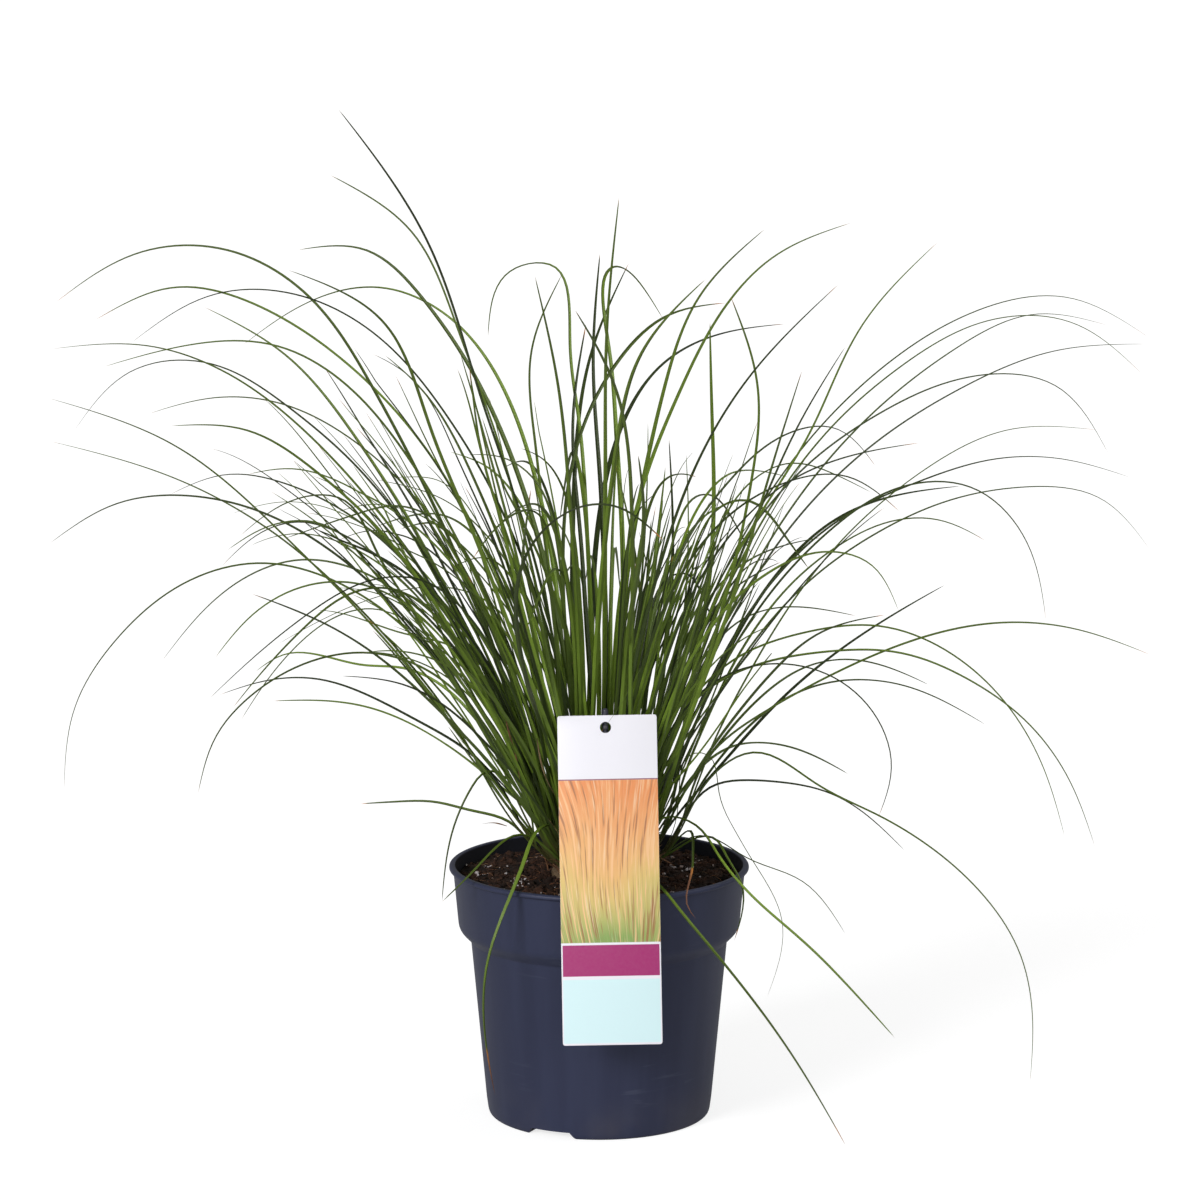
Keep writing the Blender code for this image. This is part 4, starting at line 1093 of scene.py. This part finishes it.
def make_leaves(material):
    """Each shoot's leaves grow from its sheath, with finer leaves beside them."""
    rng = random.Random(8)
    hosts = []
    names = sorted(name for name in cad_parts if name.startswith("shoot_"))
    for name in names:
        foot, routes = read_shoot(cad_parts[name])
        for route in routes:
            outward = route[0] - foot
            outward.z = 0.0
            knots = [foot + outward.normalized() * 0.5 * SHEATH_FOOT_RADIUS] + route
            hosts.append((name, smooth_path(knots, steps_along(knots))))
    finer = finer_leaves(hosts)
    for name in names:
        bm = blade_mesh()
        blades = [(without_bent_tip(path), PACKED_WIDTHS) for shoot, path in hosts if shoot == name]
        blades += [(path, FINER_WIDTHS) for path in finer.get(name, [])]
        for path, widths in blades:
            leaning = path[len(path) // 3] - path[0]
            dried, width, tint = character(path, widths, rng)
            add_blade(bm, path, leaning.cross(UP), LEAF_HALF_WIDTH * width, LEAF_FOLD, tint, dried,
                      rng.gauss(0.0, 0.6), taper_of(path))
        blade_piece("leaves_" + name[-2:], bm, material, [name])


def make_crown(material):
    """The rootstock: a low dome with the stubs and torn sheaths of old leaves."""
    rng = random.Random(31)
    bm = blade_mesh()
    middle = CROWN_CENTRE + UP * (CROWN_TOP - 0.5 * CROWN_SUNK)
    add_rod(bm, 56, 0.9 * CROWN_RADIUS, CROWN_RADIUS, CROWN_SUNK, Matrix.Translation(middle))
    soften(bm, [edge for edge in bm.edges if all(vert.co.z > middle.z for vert in edge.verts)],
           CROWN_ROUND, 5)
    for _ in range(OLD_SHEATHS):
        angle = rng.uniform(0.0, math.tau)
        radius = CROWN_RADIUS * math.sqrt(rng.uniform(0.02, 1.06))
        out = level(angle)
        start = CROWN_CENTRE + out * radius + UP * (CROWN_TOP - SHEATH_SUNK)
        lean = 0.15 + 0.6 * radius / CROWN_RADIUS * rng.uniform(0.4, 1.2)
        length = rng.uniform(*SHEATH_LENGTHS)
        bend = Vector((rng.gauss(0.0, 0.2), rng.gauss(0.0, 0.2), 0.0))
        knots = [start + (out * lean * share + UP * (1.0 - 0.35 * lean * share) + bend * share ** 2)
                 * length * share for share in (0.0, 0.35, 0.7, 1.0)]
        if clear_of_things(knots[1:]):
            add_blade(bm, smooth_path(knots, 8), out.cross(UP), rng.uniform(*SHEATH_WIDTHS), LEAF_FOLD,
                      rng.uniform(0.0, 0.9), 0.0, rng.gauss(0.0, 0.8), 0.6)
    blade_piece("crown_sheaths", bm, material, ["crown"])


def make_fibres(material):
    """Thin roots and peat threads that lie on the soil."""
    rng = random.Random(12)
    bm = blade_mesh()
    for _ in range(PEAT_FIBRES):
        place = on_soil(rng, FIBRE_MARGIN) + UP * FIBRE_START
        heading = rng.uniform(0.0, math.tau)
        knots = [place]
        for _ in range(3):
            heading += rng.gauss(0.0, 0.6)
            reach = rng.uniform(*FIBRE_STEPS)
            ahead = knots[-1] + level(heading) * reach
            ahead.z = soil_height(ahead.x, ahead.y) + rng.uniform(*FIBRE_LIFTS)
            knots.append(ahead)
        if max(knot.xy.length for knot in knots) < BAND_TOP_RADIUS - WALL - FIBRE_ROOM:
            add_blade(bm, smooth_path(knots, 9), UP, rng.uniform(*FIBRE_WIDTHS), (0.3, 0.3),
                      rng.uniform(0.3, 1.0), 0.0, 0.0, 0.3, across=2)
    blade_piece("soil_fibres", bm, material)


def make_dry_strands(material):
    """The few dead strands that catch the eye among the leaves and on the soil."""
    bm = blade_mesh()
    for width, redness, places in DRY_STRANDS:
        path = smooth_path([from_picture(*place) for place in places], 14)
        add_blade(bm, path, RIGHT, width, (0.5, 0.3), redness, 0.0, 0.6, 0.5)
    blade_piece("dry_strands", bm, material)


def make_hole_blade(material):
    """One fine blade that bends down over the card's top and across its hole."""
    bm = blade_mesh()
    start = CROWN_CENTRE + HOLE_BLADE_START
    path = smooth_path([start, start + HOLE_BLADE_RISE] + [from_picture(*place) for place in HOLE_BLADE], 48)
    add_blade(bm, path, RIGHT, HOLE_BLADE_WIDTH, (0.5, 0.2), 0.75, 0.02, 0.3, 0.9)
    blade_piece("leaf_over_card", bm, material)


def depth_of(edge):
    """How far an edge runs along Y."""
    return abs(edge.verts[0].co.y - edge.verts[1].co.y)


def make_card():
    """The printed card: small round corners, soft edges and a punched hole."""
    bm = bmesh.new()
    bmesh.ops.create_cube(bm, size=1.0)
    bmesh.ops.scale(bm, vec=(CARD_WIDTH, CARD_THICKNESS, CARD_HEIGHT), verts=bm.verts)
    soften(bm, [edge for edge in bm.edges if depth_of(edge) > 0.5 * CARD_THICKNESS], CARD_CORNER, 5)
    soften(bm, [edge for edge in bm.edges if depth_of(edge) < 0.5 * CARD_EDGE], CARD_EDGE, 2)
    bmesh.ops.transform(bm, matrix=CARD_PLACE, verts=bm.verts)
    card = new_piece("card", bm, [card_print(), card_board()], ["label"])
    punch = bmesh.new()
    place = CARD_PLACE @ Matrix.Translation(CARD_HOLE) @ Matrix.Rotation(math.radians(90.0), 4, 'X')
    add_rod(punch, 40, CARD_HOLE_RADIUS, CARD_HOLE_RADIUS, CARD_PUNCH, place)
    carve(card, punch)
    back = CARD_PLACE.inverted()
    forward = CARD_PLACE.to_3x3() @ Vector((0.0, -1.0, 0.0))
    print_map = card.data.uv_layers.new(name="UVMap")
    for face in card.data.polygons:
        face.material_index = 0 if face.normal.dot(forward) > 0.9 else 1
        for loop in face.loop_indices:
            spot = back @ card.data.vertices[card.data.loops[loop].vertex_index].co
            print_map.data[loop].uv = (spot.x / CARD_WIDTH + 0.5, spot.z / CARD_HEIGHT + 0.5)


def make_stake():
    """The round stick behind the card and the peg that goes through the card's hole."""
    behind = Vector((0.0, STAKE_STAND_OFF, CARD_HOLE_DOWN + STAKE_ABOVE_CARD - STAKE_RADIUS))
    top = CARD_PLACE @ (CARD_HOLE + behind)
    axis = (top - STAKE_FOOT).normalized()
    reach = (top - STAKE_FOOT).length
    middle = 0.5 * (top + STAKE_FOOT) + axis * 0.5 * STAKE_RADIUS
    bm = bmesh.new()
    add_rod(bm, 32, STAKE_RADIUS, STAKE_RADIUS, reach + STAKE_RADIUS)
    soften(bm, [edge for edge in bm.edges if all(vert.co.z > 0.0 for vert in edge.verts)],
           0.9 * STAKE_RADIUS, 6)
    place = Matrix.Translation(middle) @ axis.to_track_quat('Z', 'Y').to_matrix().to_4x4()
    bmesh.ops.transform(bm, matrix=place, verts=bm.verts)
    length = STAKE_STAND_OFF + 0.5 * CARD_THICKNESS + PEG_PAST_CARD
    start = CARD_HOLE + Vector((0.0, STAKE_STAND_OFF - 0.5 * length, 0.0))
    place = CARD_PLACE @ Matrix.Translation(start) @ Matrix.Rotation(math.radians(90.0), 4, 'X')
    peg = add_rod(bm, 28, PEG_RADIUS, 0.8 * PEG_RADIUS, length, place)
    front = min(vert.co.y for vert in peg)
    nose = [edge for edge in {edge for vert in peg for edge in vert.link_edges}
            if all(vert.co.y < front + PEG_NOSE for vert in edge.verts)]
    soften(bm, nose, PEG_ROUND, 4)
    new_piece("stake", bm, [stake_plastic()], ["label_stake"])


def make_stage():
    bm = bmesh.new()
    bmesh.ops.create_grid(bm, x_segments=1, y_segments=1, size=FLOOR_REACH)
    floor = to_scene("studio_floor", to_mesh("studio_floor", bm))
    floor.data.materials.append(studio_floor())


def add_sun(name, strength, softness, toward):
    """A soft sun that shines along this direction."""
    lamp = bpy.data.lights.new(name, 'SUN')
    lamp.energy = strength
    lamp.angle = math.radians(softness)
    to_scene(name, lamp).rotation_euler = Vector(toward).to_track_quat('-Z', 'Y').to_euler()


def make_studio():
    """Even white light from all round, a soft key from the front left, and weaker suns."""
    scene = bpy.context.scene
    world = bpy.data.worlds.new("studio")
    world.use_nodes = True
    light = world.node_tree.nodes["Background"]
    light.inputs["Color"].default_value = (1.0, 1.0, 1.0, 1.0)
    seen = world.node_tree.nodes.new("ShaderNodeLightPath")
    strength = world.node_tree.nodes.new("ShaderNodeMapRange")
    strength.inputs["To Min"].default_value = AMBIENT
    links = world.node_tree.links
    links.new(seen.outputs["Is Camera Ray"], strength.inputs["Value"])
    links.new(strength.outputs["Result"], light.inputs["Strength"])
    scene.world = world
    scene.view_settings.view_transform = 'Standard'
    for sun in SUNS:
        add_sun(*sun)


def make_camera():
    lens = bpy.data.cameras.new("camera")
    lens.sensor_width = SENSOR_WIDTH
    lens.lens = FOCAL_PIXELS / PICTURE_SIDE * SENSOR_WIDTH
    lens.clip_end = 200.0
    camera = to_scene("camera", lens)
    camera.location = VIEWPOINT
    camera.rotation_euler = (math.radians(90.0) - VIEW_DOWN, 0.0, 0.0)
    bpy.context.scene.camera = camera


def main():
    peat_finish = peat()
    dry_finish = dry_leaf()
    leaf_finish = sedge_leaf()
    make_pot()
    make_soil(peat_finish)
    rng = random.Random(5)
    for kind in PEAT_LUMPS:
        lumps(rng, peat_finish, *kind)
    lumps(rng, perlite(), *PERLITE_LUMPS, clustered(rng))
    make_fibres(dry_finish)
    make_crown(dry_finish)
    make_leaves(leaf_finish)
    make_dry_strands(dry_finish)
    make_hole_blade(leaf_finish)
    make_card()
    make_stake()
    make_stage()
    make_studio()
    make_camera()


main()
